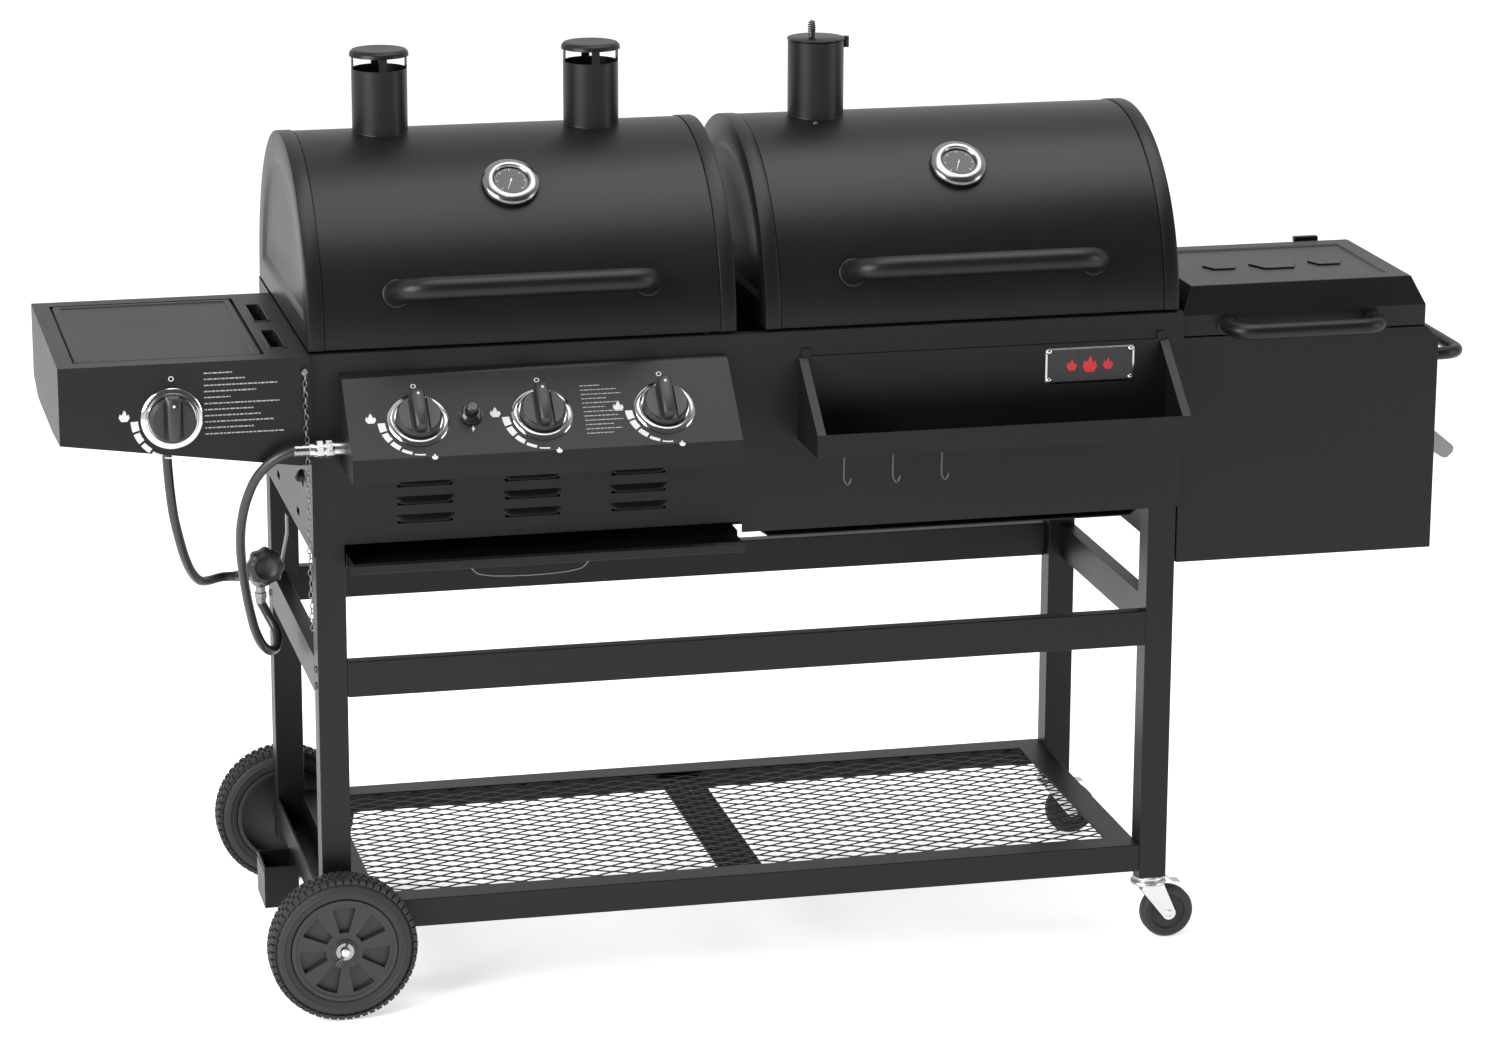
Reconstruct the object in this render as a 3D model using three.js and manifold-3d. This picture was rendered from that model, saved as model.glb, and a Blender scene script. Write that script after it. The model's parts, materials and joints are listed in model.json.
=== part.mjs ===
// Combination gas and charcoal grill on a rolling cart, with a side burner and an offset firebox.
// Millimetres, +Z up, front towards -Y. The model is drawn from the cart's left front corner and
// moved at the end, so that the middle of its footprint is the origin and the wheels stand on Z = 0.
import * as THREE from 'three';
import { mergeVertices } from 'three/addons/utils/BufferGeometryUtils.js';
import Module from 'manifold-3d';

const wasm = await Module();
wasm.setup();

// ---------------------------------------------------------------- driving dimensions

const gap = 0.3; // between pieces that touch
const sheet = 2; // sheet metal
const plate = 3; // angle iron and brackets

// cart
const cartWidth = 1206;
const cartDepth = 505;
const legWidth = 40;
const legDepth = 38;
const legWall = 2;
const legOverlap = 120; // length of leg inside the cabinet
const railHeight = 50;
const railThickness = 20;
const railBottom = 441;
const shelfAboveFeet = 51; // from the right legs' ends to the shelf's top
const shelfHeight = 40;
const shelfFlange = 40;
const shelfStrapWidth = 63;
const meshThickness = 2.5;

// wheels at the left end, casters at the right end
const wheelRadius = 101.5;
const wheelWidth = 45;
const tyreHeight = 29;
const axleRadius = 6;
const boreClearance = 0.6;
const wheelStandOff = 16; // from the leg to the wheel
const legBelowAxle = 19.5;
const casterRadius = 38;
const casterWidth = 24;
const casterTrail = 28;
const casterPlateRadius = 21;
const casterHeadHeight = 19; // from the caster's wheel to the leg over it

// cabinet
const cabinetHeight = 277;
const cabinetBottom = 641;
const cabinetOverhang = 3; // past the legs, all round
const grateDrop = 42; // from the cabinet's top to the grates
const dividerX = 592;
const trayNotchHeight = 15;
const ledgeDrop = 10; // from the grates' tops to the underside of their ledges
const rimWidth = 14; // the sheets' folded top edges
const louvre = { columns: 3, rows: 3, width: 75, height: 9, pitchX: 146, pitchZ: 25, x: 75, below: 26 };
const vent = { count: 5, radius: 10, y: 90, pitch: 80, below: [193, 158] };

// barrel lids
const lidInset = 8.5; // from the cabinet's front and back to the lids
const lidRise = 3; // from the cabinet's top to the lid's edge
const lidToDivider = 14;
const lidsApart = 40; // from the gas lid to the charcoal lid
const charcoalLidInset = 5; // from the cabinet's right end
const handleRadius = 16;
const handleLength = 372;
const handleStandOff = 60;
const handleAngle = 16.5; // degrees up from the lid's front edge
const handleBend = 46;
const handleFlangeRadius = 19;
const gaugeAngle = 52;
const gaugeRadius = 39;
const gaugeDepth = 12;
const gaugeStemRadius = 4;
const chimneyRadius = 38;
const chimneyHeight = 86; // over the lid's crest
const chimneyCapRise = 26; // from the pipe's end to the cap's top
const chimneyOffsets = [-152, 141]; // from the middle of the gas lid
const stackRadius = 39;
const stackHeight = 104; // over the lid's crest
const stackOffset = 129; // from the charcoal lid's left end

// control panel and utensil tray
const panelWidth = 524;
const panelReach = 112;
const panelLip = 32;
const panelHeight = 125;
const panelBelowTop = 26; // from the cabinet's top to the panel's
const panelShoulder = 20; // depth of the nearly flat shoulder above the slope
const panelShoulderDrop = 5;
const panelX = 36;
const knobPitch = 166;
const knobRadius = 31;
const knobDepth = 22;
const knobStandOff = 7;
const shaftRadius = 4;
const igniterRadius = 8;
const igniterTravel = 4;
const manifoldRadius = 9;
const manifoldRise = 30; // over the panel's bottom
const trayWidth = 524;
const trayFromDivider = 70;
const trayBelowTop = 35; // from the cabinet's top to the tray's

// side burner shelf
const shelfLength = 331;
const shelfDepth = 404;
const shelfFrontY = -12;
const shelfFrontHeight = 104;
const wellX = -312;
const wellWidth = 252;
const wellY = 15;
const wellDepth = 351;
const wellDrop = 48;
const toolSlot = { x: -46, width: 17, length: 102, y: [50, 214] };

// firebox
const fireboxWidth = 378;
const fireboxDepth = 290;
const fireboxFrontY = 5;
const fireboxBottom = 558;
const fireboxHeight = 322;
const fireboxBevel = 20;
const fireboxLidSkirt = 30;
const fireboxLidHeight = 67;
const fireboxLidInset = 17;
const portY = [80, 230];
const portZ = [700, 850];
const damperHeight = 42;
const damperZ = 676;

// ---------------------------------------------------------------- derived places

const leftLegBottom = wheelRadius - legBelowAxle;
const rightLegBottom = 2 * casterRadius + casterHeadHeight;
const shelfTop = rightLegBottom + shelfAboveFeet;
const cabinetTop = cabinetBottom + cabinetHeight;
const cabinetLeft = -cabinetOverhang;
const cabinetRight = cartWidth + cabinetOverhang;
const cabinetFront = -cabinetOverhang;
const cabinetBack = cartDepth + cabinetOverhang;
const legTop = cabinetBottom + legOverlap;
const rightLegX = cartWidth - legWidth;
const rearLegY = cartDepth - legDepth;
const lidY = cartDepth / 2;
const lidZ = cabinetTop + lidRise;
const lidRadius = (cabinetBack - cabinetFront) / 2 - lidInset;
const lidCrest = lidZ + lidRadius;
const chimneyTop = lidCrest + chimneyHeight;
const chimneyCapTop = chimneyTop + chimneyCapRise;
const stackTop = lidCrest + stackHeight;
const fireboxX = cabinetRight + gap;
const gasLidX = cabinetLeft;
const gasLidWidth = dividerX - lidToDivider - gasLidX;
const charcoalLidX = dividerX - lidToDivider + lidsApart;
const charcoalLidWidth = cabinetRight - charcoalLidInset - charcoalLidX;
const grateTop = cabinetTop - grateDrop;
const panelTop = cabinetTop - panelBelowTop;
const panelBottom = panelTop - panelHeight;
const shoulderZ = panelTop - panelShoulderDrop;
const panelLipTop = panelBottom + panelLip;
const slope = Math.atan2(shoulderZ - panelLipTop, panelReach - panelShoulder);
const trayX = dividerX + trayFromDivider;
const trayTop = cabinetTop - trayBelowTop;
const panelMiddle = panelX + panelWidth / 2;
const manifold = { y: -34, z: panelBottom + manifoldRise };
const fittingX = -10;
const panelHoleClearance = 1.5;

// ---------------------------------------------------------------- solids

function solid(geometry) {
  geometry.deleteAttribute('normal');
  geometry.deleteAttribute('uv');
  const merged = mergeVertices(geometry, 1e-4);
  const triVerts = new Uint32Array(merged.index.array);
  const vertProperties = merged.attributes.position.array;
  return new wasm.Manifold(new wasm.Mesh({ numProp: 3, vertProperties, triVerts }));
}

function box(x, y, z) {
  const geometry = new THREE.BoxGeometry(x[1] - x[0], y[1] - y[0], z[1] - z[0]);
  geometry.translate((x[0] + x[1]) / 2, (y[0] + y[1]) / 2, (z[0] + z[1]) / 2);
  return solid(geometry);
}

// A round bar from one end point, along X, Y or Z.
function bar(axis, start, length, radius, sides = 24) {
  const geometry = new THREE.CylinderGeometry(radius, radius, length, sides);
  geometry.translate(0, length / 2, 0);
  if (axis === 'x') geometry.rotateZ(-Math.PI / 2);
  if (axis === 'z') geometry.rotateX(Math.PI / 2);
  geometry.translate(...start);
  return solid(geometry);
}

// An outline in the plane across an axis, extruded along it: [y, z] along X, [x, z] along Y, [x, y] along Z.
function prism(axis, outline, from, to) {
  const points = axis === 'y' ? outline.map(([x, z]) => [z, x]) : outline;
  const shape = new THREE.Shape(points.map(([u, v]) => new THREE.Vector2(u, v)));
  const geometry = new THREE.ExtrudeGeometry(shape, { depth: to - from, bevelEnabled: false });
  geometry.translate(0, 0, from);
  const [X, Y, Z] = [new THREE.Vector3(1, 0, 0), new THREE.Vector3(0, 1, 0), new THREE.Vector3(0, 0, 1)];
  const turn = new THREE.Matrix4();
  if (axis === 'x') turn.makeBasis(Y, Z, X);
  if (axis === 'y') turn.makeBasis(Z, X, Y);
  geometry.applyMatrix4(turn);
  return solid(geometry);
}

// The outline of a folded sheet: a line of bends and its copy one thickness to the left of it.
function folded(line, thickness) {
  const points = line.map(([u, v]) => new THREE.Vector2(u, v));
  const side = points.map((point, i) => {
    const before = points[Math.max(i - 1, 0)];
    const after = points[Math.min(i + 1, points.length - 1)];
    const into = point.clone().sub(before);
    const out = after.clone().sub(point);
    if (i === 0) into.copy(out);
    if (i === points.length - 1) out.copy(into);
    into.normalize();
    out.normalize();
    const middle = into.clone().add(out).normalize();
    const mitre = thickness / middle.dot(into);
    return [point.x - middle.y * mitre, point.y + middle.x * mitre];
  });
  return [...line, ...side.reverse()];
}

// A round bar bent along a curve through its points, with straight stretches kept straight.
function bent(points, radius, steps, sides = 10, bend = 0) {
  const vectors = points.map((p) => new THREE.Vector3(...p));
  const path = new THREE.CurvePath();
  let start = vectors[0];
  for (let i = 1; i < vectors.length - 1; i += 1) {
    const before = vectors[i].clone().sub(vectors[i - 1]).setLength(bend);
    const after = vectors[i + 1].clone().sub(vectors[i]).setLength(bend);
    const into = vectors[i].clone().sub(before);
    const out = vectors[i].clone().add(after);
    path.add(new THREE.LineCurve3(start, into));
    path.add(new THREE.QuadraticBezierCurve3(into, vectors[i], out));
    start = out;
  }
  path.add(new THREE.LineCurve3(start, vectors[vectors.length - 1]));
  return along(path, radius, steps, sides);
}

function along(path, radius, steps, sides) {
  const section = new THREE.Shape();
  for (let i = 0; i < sides; i += 1) {
    const angle = (2 * Math.PI * i) / sides;
    const at = [radius * Math.cos(angle), radius * Math.sin(angle)];
    if (i === 0) section.moveTo(...at);
    else section.lineTo(...at);
  }
  return solid(new THREE.ExtrudeGeometry(section, { steps, extrudePath: path, bevelEnabled: false }));
}

function ring(axis, start, length, outer, inner, sides) {
  const offset = { x: [1, 0, 0], y: [0, 1, 0], z: [0, 0, 1] }[axis];
  const below = start.map((value, i) => value - offset[i]);
  return bar(axis, start, length, outer, sides).subtract(bar(axis, below, length + 2, inner, sides));
}

function joined(...solids) {
  return solids.flat().reduce((whole, piece) => whole.add(piece));
}

function cut(whole, ...cutters) {
  return cutters.flat().reduce((left, cutter) => left.subtract(cutter), whole);
}

function arc(radius, from, to, steps) {
  return Array.from({ length: steps + 1 }, (_, i) => {
    const angle = THREE.MathUtils.degToRad(from + ((to - from) * i) / steps);
    return [radius * Math.cos(angle), radius * Math.sin(angle)];
  });
}

// ---------------------------------------------------------------- materials and nodes

const finishes = {
  black: { color: 0x2b2b2c, roughness: 0.55, metalness: 0.2 },
  castIron: { color: 0x1e1e1f, roughness: 0.8, metalness: 0.4 },
  steel: { color: 0xc4c5c6, roughness: 0.3, metalness: 0.9 },
  zinc: { color: 0xa9abad, roughness: 0.4, metalness: 0.8 },
  plastic: { color: 0x1a1a1b, roughness: 0.5, metalness: 0 },
  rubber: { color: 0x1c1c1d, roughness: 0.85, metalness: 0 },
};

const grill = new THREE.Group();
const cordNodes = ['gas_hose', 'side_burner_hose'];

function node(name, made, finish = 'black', place = null) {
  const { vertProperties, triVerts } = made.getMesh();
  const geometry = new THREE.BufferGeometry();
  geometry.setAttribute('position', new THREE.BufferAttribute(vertProperties, 3));
  geometry.setIndex(new THREE.BufferAttribute(triVerts, 1));
  geometry.computeVertexNormals();
  const mesh = new THREE.Mesh(geometry, new THREE.MeshStandardMaterial(finishes[finish]));
  mesh.name = name;
  if (place) {
    mesh.position.set(...place.at);
    mesh.rotation.x = place.tilt ?? 0;
  }
  grill.add(mesh);
  return mesh;
}

// ---------------------------------------------------------------- cart

const axleBore = axleRadius + boreClearance;
const axleHole = (y) => bar('y', [legWidth / 2, y, wheelRadius], legDepth + 2, axleBore, 16);

function leg(name, x, y, bottom, holes = []) {
  const outside = box([x, x + legWidth], [y, y + legDepth], [bottom, legTop]);
  const inside = box(
    [x + legWall, x + legWidth - legWall],
    [y + legWall, y + legDepth - legWall],
    [bottom - 1, legTop + 1],
  );
  node(name, cut(outside, inside, holes));
}

leg('front_left_leg', 0, 0, leftLegBottom, [axleHole(-1)]);
leg('rear_left_leg', 0, rearLegY, leftLegBottom, [axleHole(rearLegY - 1)]);
leg('front_right_leg', rightLegX, 0, rightLegBottom);
leg('rear_right_leg', rightLegX, rearLegY, rightLegBottom);

const railZ = [railBottom, railBottom + railHeight];
const betweenX = [legWidth + gap, rightLegX - gap];
const betweenY = [legDepth + gap, rearLegY - gap];
node('front_lower_rail', box(betweenX, [0, railThickness], railZ));
node('rear_upper_rail', box(betweenX, [cartDepth - railThickness, cartDepth], railZ));
node('left_side_rail', box([0, railThickness], betweenY, railZ));
node('right_side_rail', box([cartWidth - railThickness, cartWidth], betweenY, railZ));

function shelfFrame() {
  const outer = { x: betweenX, y: [gap, cartDepth - gap] };
  const shrink = ([low, high], by) => [low + by, high - by];
  const whole = box(outer.x, outer.y, [shelfTop - shelfHeight, shelfTop]);
  const under = box(shrink(outer.x, plate), shrink(outer.y, plate), [0, shelfTop - plate]);
  const middle = box(shrink(outer.x, shelfFlange), shrink(outer.y, shelfFlange), [0, shelfTop + 1]);
  const strapX = cartWidth / 2 - 6;
  const meshTop = shelfTop - plate - gap;
  const strapTop = meshTop - meshThickness - gap;
  const strap = box(
    [strapX - shelfStrapWidth / 2, strapX + shelfStrapWidth / 2],
    shrink(outer.y, plate - 1),
    [strapTop - plate, strapTop],
  );
  node('shelf_frame', cut(whole, under, middle).add(strap));
  const meshX = shrink(outer.x, plate + 1);
  const meshY = shrink(outer.y, plate + 1);
  node('shelf_mesh', box(meshX, meshY, [meshTop - meshThickness, meshTop]));
}
shelfFrame();

// The channel between the left legs, over the axle, with the tongue that carries the gas tank.
function tankBracket() {
  const floor = wheelRadius + axleRadius + 4;
  const channelTop = floor + 38.5;
  const tongueY = [268, 348];
  const tongueZ = [floor - 59.5, floor + 0.5];
  const tongueX = -46;
  const foldOver = 20; // the tongue's flange over the channel
  const channel = [[0, channelTop], [0, floor], [legWidth, floor], [legWidth, channelTop]];
  const tongue = [
    [tongueY[0], tongueZ[1]],
    [tongueY[0], tongueZ[0]],
    [tongueY[1], tongueZ[0]],
    [tongueY[1], tongueZ[1]],
  ];
  const flangeY = [tongueY[0] + plate, tongueY[1] - plate];
  const flange = box([tongueX, foldOver], flangeY, [floor - 4, floor]);
  const openFlange = box([tongueX + plate, 0], flangeY, [0, floor + 1]);
  return joined(
    prism('y', folded(channel.reverse(), -plate), betweenY[0], betweenY[1]),
    prism('x', folded(tongue, plate), tongueX, 0.5),
    box([tongueX, tongueX + plate], tongueY, [tongueZ[0], floor - 7.5]),
    cut(flange, openFlange),
    box([0, plate], tongueY, [tongueZ[0], floor]),
  );
}
node('tank_bracket', tankBracket());

// ---------------------------------------------------------------- wheels

const wheelY = [-wheelStandOff - wheelWidth, cartDepth + wheelStandOff];
const axleOverhang = 9;
const axleStart = wheelY[0] - axleOverhang;
const axleLength = cartDepth - 2 * axleStart;
node('wheel_axle', bar('y', [legWidth / 2, axleStart, wheelRadius], axleLength, axleRadius, 16), 'steel');

// A tyre on a rim whose web has pockets, open to the outer side, between its spokes.
function wheel(prefix, y, outward) {
  const sides = 40;
  const rimRadius = wheelRadius - tyreHeight;
  const centre = [legWidth / 2, y, wheelRadius];
  node(`${prefix}_tyre`, ring('y', centre, wheelWidth, wheelRadius, rimRadius, sides), 'rubber');
  const webThickness = 12;
  const webInset = 1.5;
  const pocketDepth = 8.5;
  const barrel = ring('y', centre, wheelWidth, rimRadius - gap, rimRadius - 6, sides);
  const webY = outward < 0 ? y + webInset : y + wheelWidth - webInset - webThickness;
  const web = bar('y', [centre[0], webY, centre[2]], webThickness, rimRadius - 5, sides);
  const hub = bar('y', centre, wheelWidth, 17, sides);
  const bore = bar('y', [centre[0], y - 1, centre[2]], wheelWidth + 2, axleBore, 16);
  const spokes = 7;
  const pocketY = outward < 0 ? webY - 1 : webY + webThickness - pocketDepth;
  const pockets = Array.from({ length: spokes }, (_, i) => {
    const middle = 90 + (360 * i) / spokes;
    const outer = arc(rimRadius - 11, middle - 15, middle + 15, 4);
    const inner = arc(26, middle + 14, middle - 14, 2);
    const outline = [...outer, ...inner].map(([x, z]) => [x + centre[0], z + centre[2]]);
    return prism('y', outline, pocketY, pocketY + pocketDepth + 1);
  });
  node(`${prefix}_rim`, cut(joined(barrel, web, hub), bore, pockets), 'plastic');
}
wheel('front', wheelY[0], -1);
wheel('rear', wheelY[1], 1);

function caster(prefix, y) {
  const stem = [cartWidth - legWidth / 2, y];
  const wheelX = stem[0] + casterTrail;
  const top = rightLegBottom - gap;
  const forkPlate = 2.5;
  const cheekY = casterWidth / 2 + 3;
  const crown = bar('z', [...stem, top - 14], 14, casterPlateRadius);
  const crownLow = top - 16;
  const bridgeY = [y - cheekY - 1, y + cheekY + 1];
  const bridge = box([stem[0] - 12, stem[0] + 18], bridgeY, [crownLow, crownLow + plate]);
  const cheek = [
    [stem[0] - 14, crownLow + plate],
    [wheelX - 9, casterRadius - 6],
    ...arc(10, 215, 370, 5).map(([u, v]) => [wheelX + u, casterRadius + v]),
    [stem[0] + 20, crownLow + plate],
  ];
  const cheeks = [y - cheekY - forkPlate, y + cheekY].map((at) => prism('y', cheek, at, at + forkPlate));
  const pinRadius = 4;
  const pinLength = 2 * (cheekY + forkPlate) + 4;
  const pin = bar('y', [wheelX, y - pinLength / 2, casterRadius], pinLength, pinRadius, 16);
  node(`${prefix}_caster_fork`, joined(crown, bridge, cheeks, pin), 'zinc');
  const bore = pinRadius + boreClearance;
  const tread = ring('y', [wheelX, y - casterWidth / 2, casterRadius], casterWidth, casterRadius, bore, 32);
  node(`${prefix}_caster_wheel`, tread, 'rubber');
}
caster('front', legDepth / 2);
caster('rear', cartDepth - legDepth / 2);

// ---------------------------------------------------------------- cabinet

const knobX = [-1, 0, 1].map((step) => panelMiddle - 2 + step * knobPitch);
const legCutters = [0, rightLegX].flatMap((x) => [0, rearLegY].map((y) =>
  box([x - 2, x + legWidth + 1.5], [y - 2, y + legDepth + 1.5], [0, legTop + 1])));

function ledges(y) {
  const z = [grateTop - ledgeDrop, grateTop - ledgeDrop + sheet];
  return [
    box([legWidth + 4, dividerX - 6], y, z),
    box([dividerX + 6, rightLegX - 4], y, z),
  ];
}

const every = (count, start, pitch) => Array.from({ length: count }, (_, i) => start + i * pitch);

function louvres() {
  const y = [cabinetFront - 1, cabinetFront + sheet + 1];
  const columns = every(louvre.columns, panelX + louvre.x, louvre.pitchX);
  const rows = every(louvre.rows, panelBottom - louvre.below, -louvre.pitchZ);
  return columns.flatMap((x) => rows.map((top) =>
    box([x, x + louvre.width], y, [top - 1 - louvre.height, top - 1])));
}

const cabinetX = [cabinetLeft, cabinetRight];
const cabinetZ = [cabinetBottom, cabinetTop];
const rimZ = [cabinetTop - sheet, cabinetTop];

function cabinetFrontSheet() {
  const y = [cabinetFront, cabinetFront + sheet];
  const face = box(cabinetX, y, cabinetZ);
  const rim = box(cabinetX, [cabinetFront, cabinetFront + rimWidth], rimZ);
  const notch = box(
    [legWidth - 2, dividerX - 8],
    [cabinetFront - 1, cabinetFront + sheet + 1],
    [cabinetBottom - 1, cabinetBottom + trayNotchHeight],
  );
  const burnerHoles = knobX.map((x) => bar('y', [x, cabinetFront - 1, manifold.z], sheet + 2, 14, 16));
  const shelves = ledges([cabinetFront + 1, cabinetFront + rimWidth + 2]);
  return cut(joined(face, rim, shelves), notch, louvres(), burnerHoles);
}
node('cabinet_front', cabinetFrontSheet());

const backFace = box(cabinetX, [cabinetBack - sheet, cabinetBack], cabinetZ);
const backRim = box(cabinetX, [cabinetBack - rimWidth, cabinetBack], rimZ);
const backLedges = ledges([cabinetBack - rimWidth - 2, cabinetBack - 1]);
node('cabinet_back', joined(backFace, backRim, backLedges));

const sideY = [cabinetFront + sheet + gap, cabinetBack - sheet - gap];
const sideZ = [cabinetBottom, cabinetTop - sheet - gap];
const runnerTop = cabinetBottom;
const runnerDrop = 18;

// A C-shaped runner under the cabinet, open towards the grease tray; toward is 1 or -1 along X.
function runner(x, toward) {
  const web = [x, x + toward * sheet].sort((a, b) => a - b);
  const lip = [x, x + toward * 10].sort((a, b) => a - b);
  const y = [1, cabinetBack - 8];
  return joined(
    box(web, y, [runnerTop - runnerDrop, runnerTop + sheet]),
    box(lip, y, [runnerTop - runnerDrop, runnerTop - runnerDrop + sheet]),
  );
}

function leftSide() {
  const face = box([cabinetLeft, cabinetLeft + sheet], sideY, sideZ);
  const hangerZ = [cabinetBottom, cabinetBottom + sheet];
  const hanger = box([cabinetLeft, legWidth + 3], [legDepth + 4, rearLegY - 4], hangerZ);
  const through = (y, z, radius) => bar('x', [cabinetLeft - 1, y, z], sheet + 2, radius, 16);
  const vents = every(vent.count, vent.y, vent.pitch)
    .map((y, i) => through(y, cabinetTop - vent.below[i % 2], vent.radius));
  const slotZ = [cabinetBottom + 21, cabinetBottom + 31];
  const slots = [130, 330].map((y) =>
    box([cabinetLeft - 1, cabinetLeft + sheet + 1], [y, y + 26], slotZ));
  return cut(joined(face, hanger, runner(legWidth + 1, 1)), vents, slots);
}
node('cabinet_left_side', leftSide());

const port = [portY, portZ];
const rightFace = box([cabinetRight - sheet, cabinetRight], sideY, sideZ);
node('cabinet_right_side', cut(rightFace, box([cabinetRight - sheet - 1, cabinetRight + 1], ...port)));

// The divider between the two chambers, with the charcoal pan and the right-hand tray runner.
function cabinetFloor() {
  const panRight = rightLegX - 3;
  const panLow = cabinetBottom - 9;
  const line = [
    [dividerX, grateTop - 14],
    [dividerX, cabinetBottom + 12],
    [dividerX + 30, panLow],
    [panRight - 24, panLow],
    [panRight, cabinetBottom + 12],
    [panRight, portZ[0] - 8],
    [cabinetRight - sheet - 1, portZ[0] - 8],
  ];
  const pan = prism('y', folded(line, sheet), sideY[0], sideY[1]);
  const y = [legDepth, rearLegY];
  const hanger = box([dividerX - 14, dividerX + 1], y, [cabinetBottom, cabinetBottom + sheet]);
  const foot = box([dividerX - 1, dividerX + sheet], y, [cabinetBottom, cabinetBottom + 20]);
  return cut(joined(pan, hanger, foot, runner(dividerX - 13, -1)), legCutters);
}
node('cabinet_floor', cabinetFloor());

// ---------------------------------------------------------------- cooking surfaces and burners

function grate(name, x) {
  const y = [cabinetFront + sheet + 1, cabinetBack - sheet - 1];
  const barWidth = 6;
  const low = grateTop - ledgeDrop + sheet + gap;
  const bars = 15;
  const pitch = (x[1] - x[0] - barWidth) / (bars - 1);
  const rods = Array.from({ length: bars }, (_, i) => {
    const at = x[0] + i * pitch;
    return box([at, at + barWidth], y, [low, low + barWidth]);
  });
  const cross = [cartDepth / 3, (2 * cartDepth) / 3].map((at) =>
    box(x, [at, at + barWidth], [low, low + barWidth - 1]));
  node(name, joined(rods, cross), 'castIron');
}
grate('gas_grate', [legWidth + 6, dividerX - 8]);
grate('charcoal_grate', [dividerX + 8, rightLegX - 6]);

// Three tube burners on one gas pipe, with the hexagonal nuts of the hose fitting at its end.
function burnerManifold() {
  const burnerRadius = 14;
  const burnerY = [24, cabinetBack - 64];
  const valve = 12; // half of a valve body's side
  const valveZ = [manifold.z - valve, manifold.z + valve];
  const burners = knobX.flatMap((x) => [
    bar('y', [x, burnerY[0], manifold.z], burnerY[1] - burnerY[0], burnerRadius, 12),
    bar('y', [x, manifold.y, manifold.z], burnerY[0] + 4 - manifold.y, manifoldRadius, 12),
    box([x - valve, x + valve], [manifold.y - 14, manifold.y + valve], valveZ),
  ]);
  const pipeStart = [fittingX, manifold.y, manifold.z];
  const pipe = bar('x', pipeStart, knobX[2] + 20 - pipeStart[0], manifoldRadius, 16);
  const nuts = [10, 22].map((offset) => bar('x', [fittingX + offset, ...pipeStart.slice(1)], 8, 12, 6));
  const crossoverY = [burnerY[1] - 12, burnerY[1] - 6];
  const crossover = box([legWidth + 6, dividerX - 8], crossoverY, [manifold.z - 24, manifold.z]);
  return joined(burners, pipe, nuts, crossover);
}
node('burner_manifold', burnerManifold(), 'steel');

function greaseTray() {
  const low = runnerTop - runnerDrop + sheet + gap;
  const high = runnerTop - gap - 1;
  const x = [legWidth + 1 + sheet + 1, dividerX - 13 - sheet - 1];
  const frontY = -45;
  const y = [frontY, cabinetBack - 30];
  const outside = box(x, y, [low, high]);
  const inside = box([x[0] + sheet, x[1] - sheet], [y[0] + sheet, y[1] - sheet], [low + sheet, high + 1]);
  const lip = box([legWidth + 1, dividerX - 14], [frontY - sheet, frontY + sheet], [low, high - 2]);
  return cut(outside, inside).add(lip);
}
node('grease_tray', greaseTray());

// ---------------------------------------------------------------- control panel

// Outline of the control panel's and the tray's side, from the cabinet out to the lip.
const panelBackY = cabinetFront - gap;

function panelFace(down) {
  const y = -panelShoulder - down * Math.cos(slope);
  const z = shoulderZ - down * Math.sin(slope);
  return [y, z];
}

// A round cutter through the sloping face, at a distance down it.
function slopeHole(x, down, radius) {
  const [y, z] = panelFace(down);
  const geometry = new THREE.CylinderGeometry(radius, radius, 20, 20);
  geometry.rotateX(Math.PI / 2 + slope);
  geometry.translate(x, y, z);
  return solid(geometry);
}

const knobDown = 70;
const igniterDown = 66;
const igniterX = (knobX[0] + knobX[1]) / 2 - 12;

const cabinetSpace = box([cabinetLeft, cabinetRight], [panelBackY, cartDepth], [panelBottom - 1, cabinetTop]);

function controlPanel() {
  const line = [
    [panelBackY, panelTop],
    [-panelShoulder, shoulderZ],
    [-panelReach, panelLipTop],
    [-panelReach, panelBottom],
    [-panelReach + 14, panelBottom],
  ];
  const skin = prism('x', folded(line, sheet), panelX, panelX + panelWidth);
  const side = [...line.slice(0, 4), [panelBackY, panelBottom]];
  const ends = [panelX, panelX + panelWidth - sheet].map((x) => prism('x', side, x, x + sheet));
  const holes = knobX.map((x) => slopeHole(x, knobDown, shaftRadius + panelHoleClearance));
  const button = slopeHole(igniterX, igniterDown, igniterRadius + panelHoleClearance);
  const pipeHole = bar('x', [panelX - 1, manifold.y, manifold.z], sheet + 2, manifoldRadius + 2, 16);
  return cut(joined(skin, ends), cabinetSpace, holes, button, pipeHole);
}
node('control_panel', controlPanel());

// A knob pointing along +Z from its seat: shaft, skirt and grip bar.
function knobSolid() {
  const shaft = bar('z', [0, 0, -22], 24 + knobStandOff, shaftRadius, 12);
  const skirt = bar('z', [0, 0, knobStandOff], knobDepth - 10, knobRadius, 32);
  const grip = box([-8, 8], [-knobRadius + 3, knobRadius - 3], [knobStandOff, knobStandOff + knobDepth]);
  return joined(shaft, skirt, grip);
}

['left_knob', 'centre_knob', 'right_knob'].forEach((name, i) => {
  const [y, z] = panelFace(knobDown);
  node(name, knobSolid(), 'plastic', { at: [knobX[i], y, z], tilt: slope });
});

const igniterSeat = panelFace(igniterDown);
const igniterButton = bar('z', [0, 0, -16], 16 + 10, igniterRadius, 20);
node('igniter_button', igniterButton, 'plastic', { at: [igniterX, ...igniterSeat], tilt: slope });

// ---------------------------------------------------------------- utensil tray

const hookX = [702, 770, 838];
const hookY = -panelReach + 12;
const hookWire = 1.5;

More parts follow.
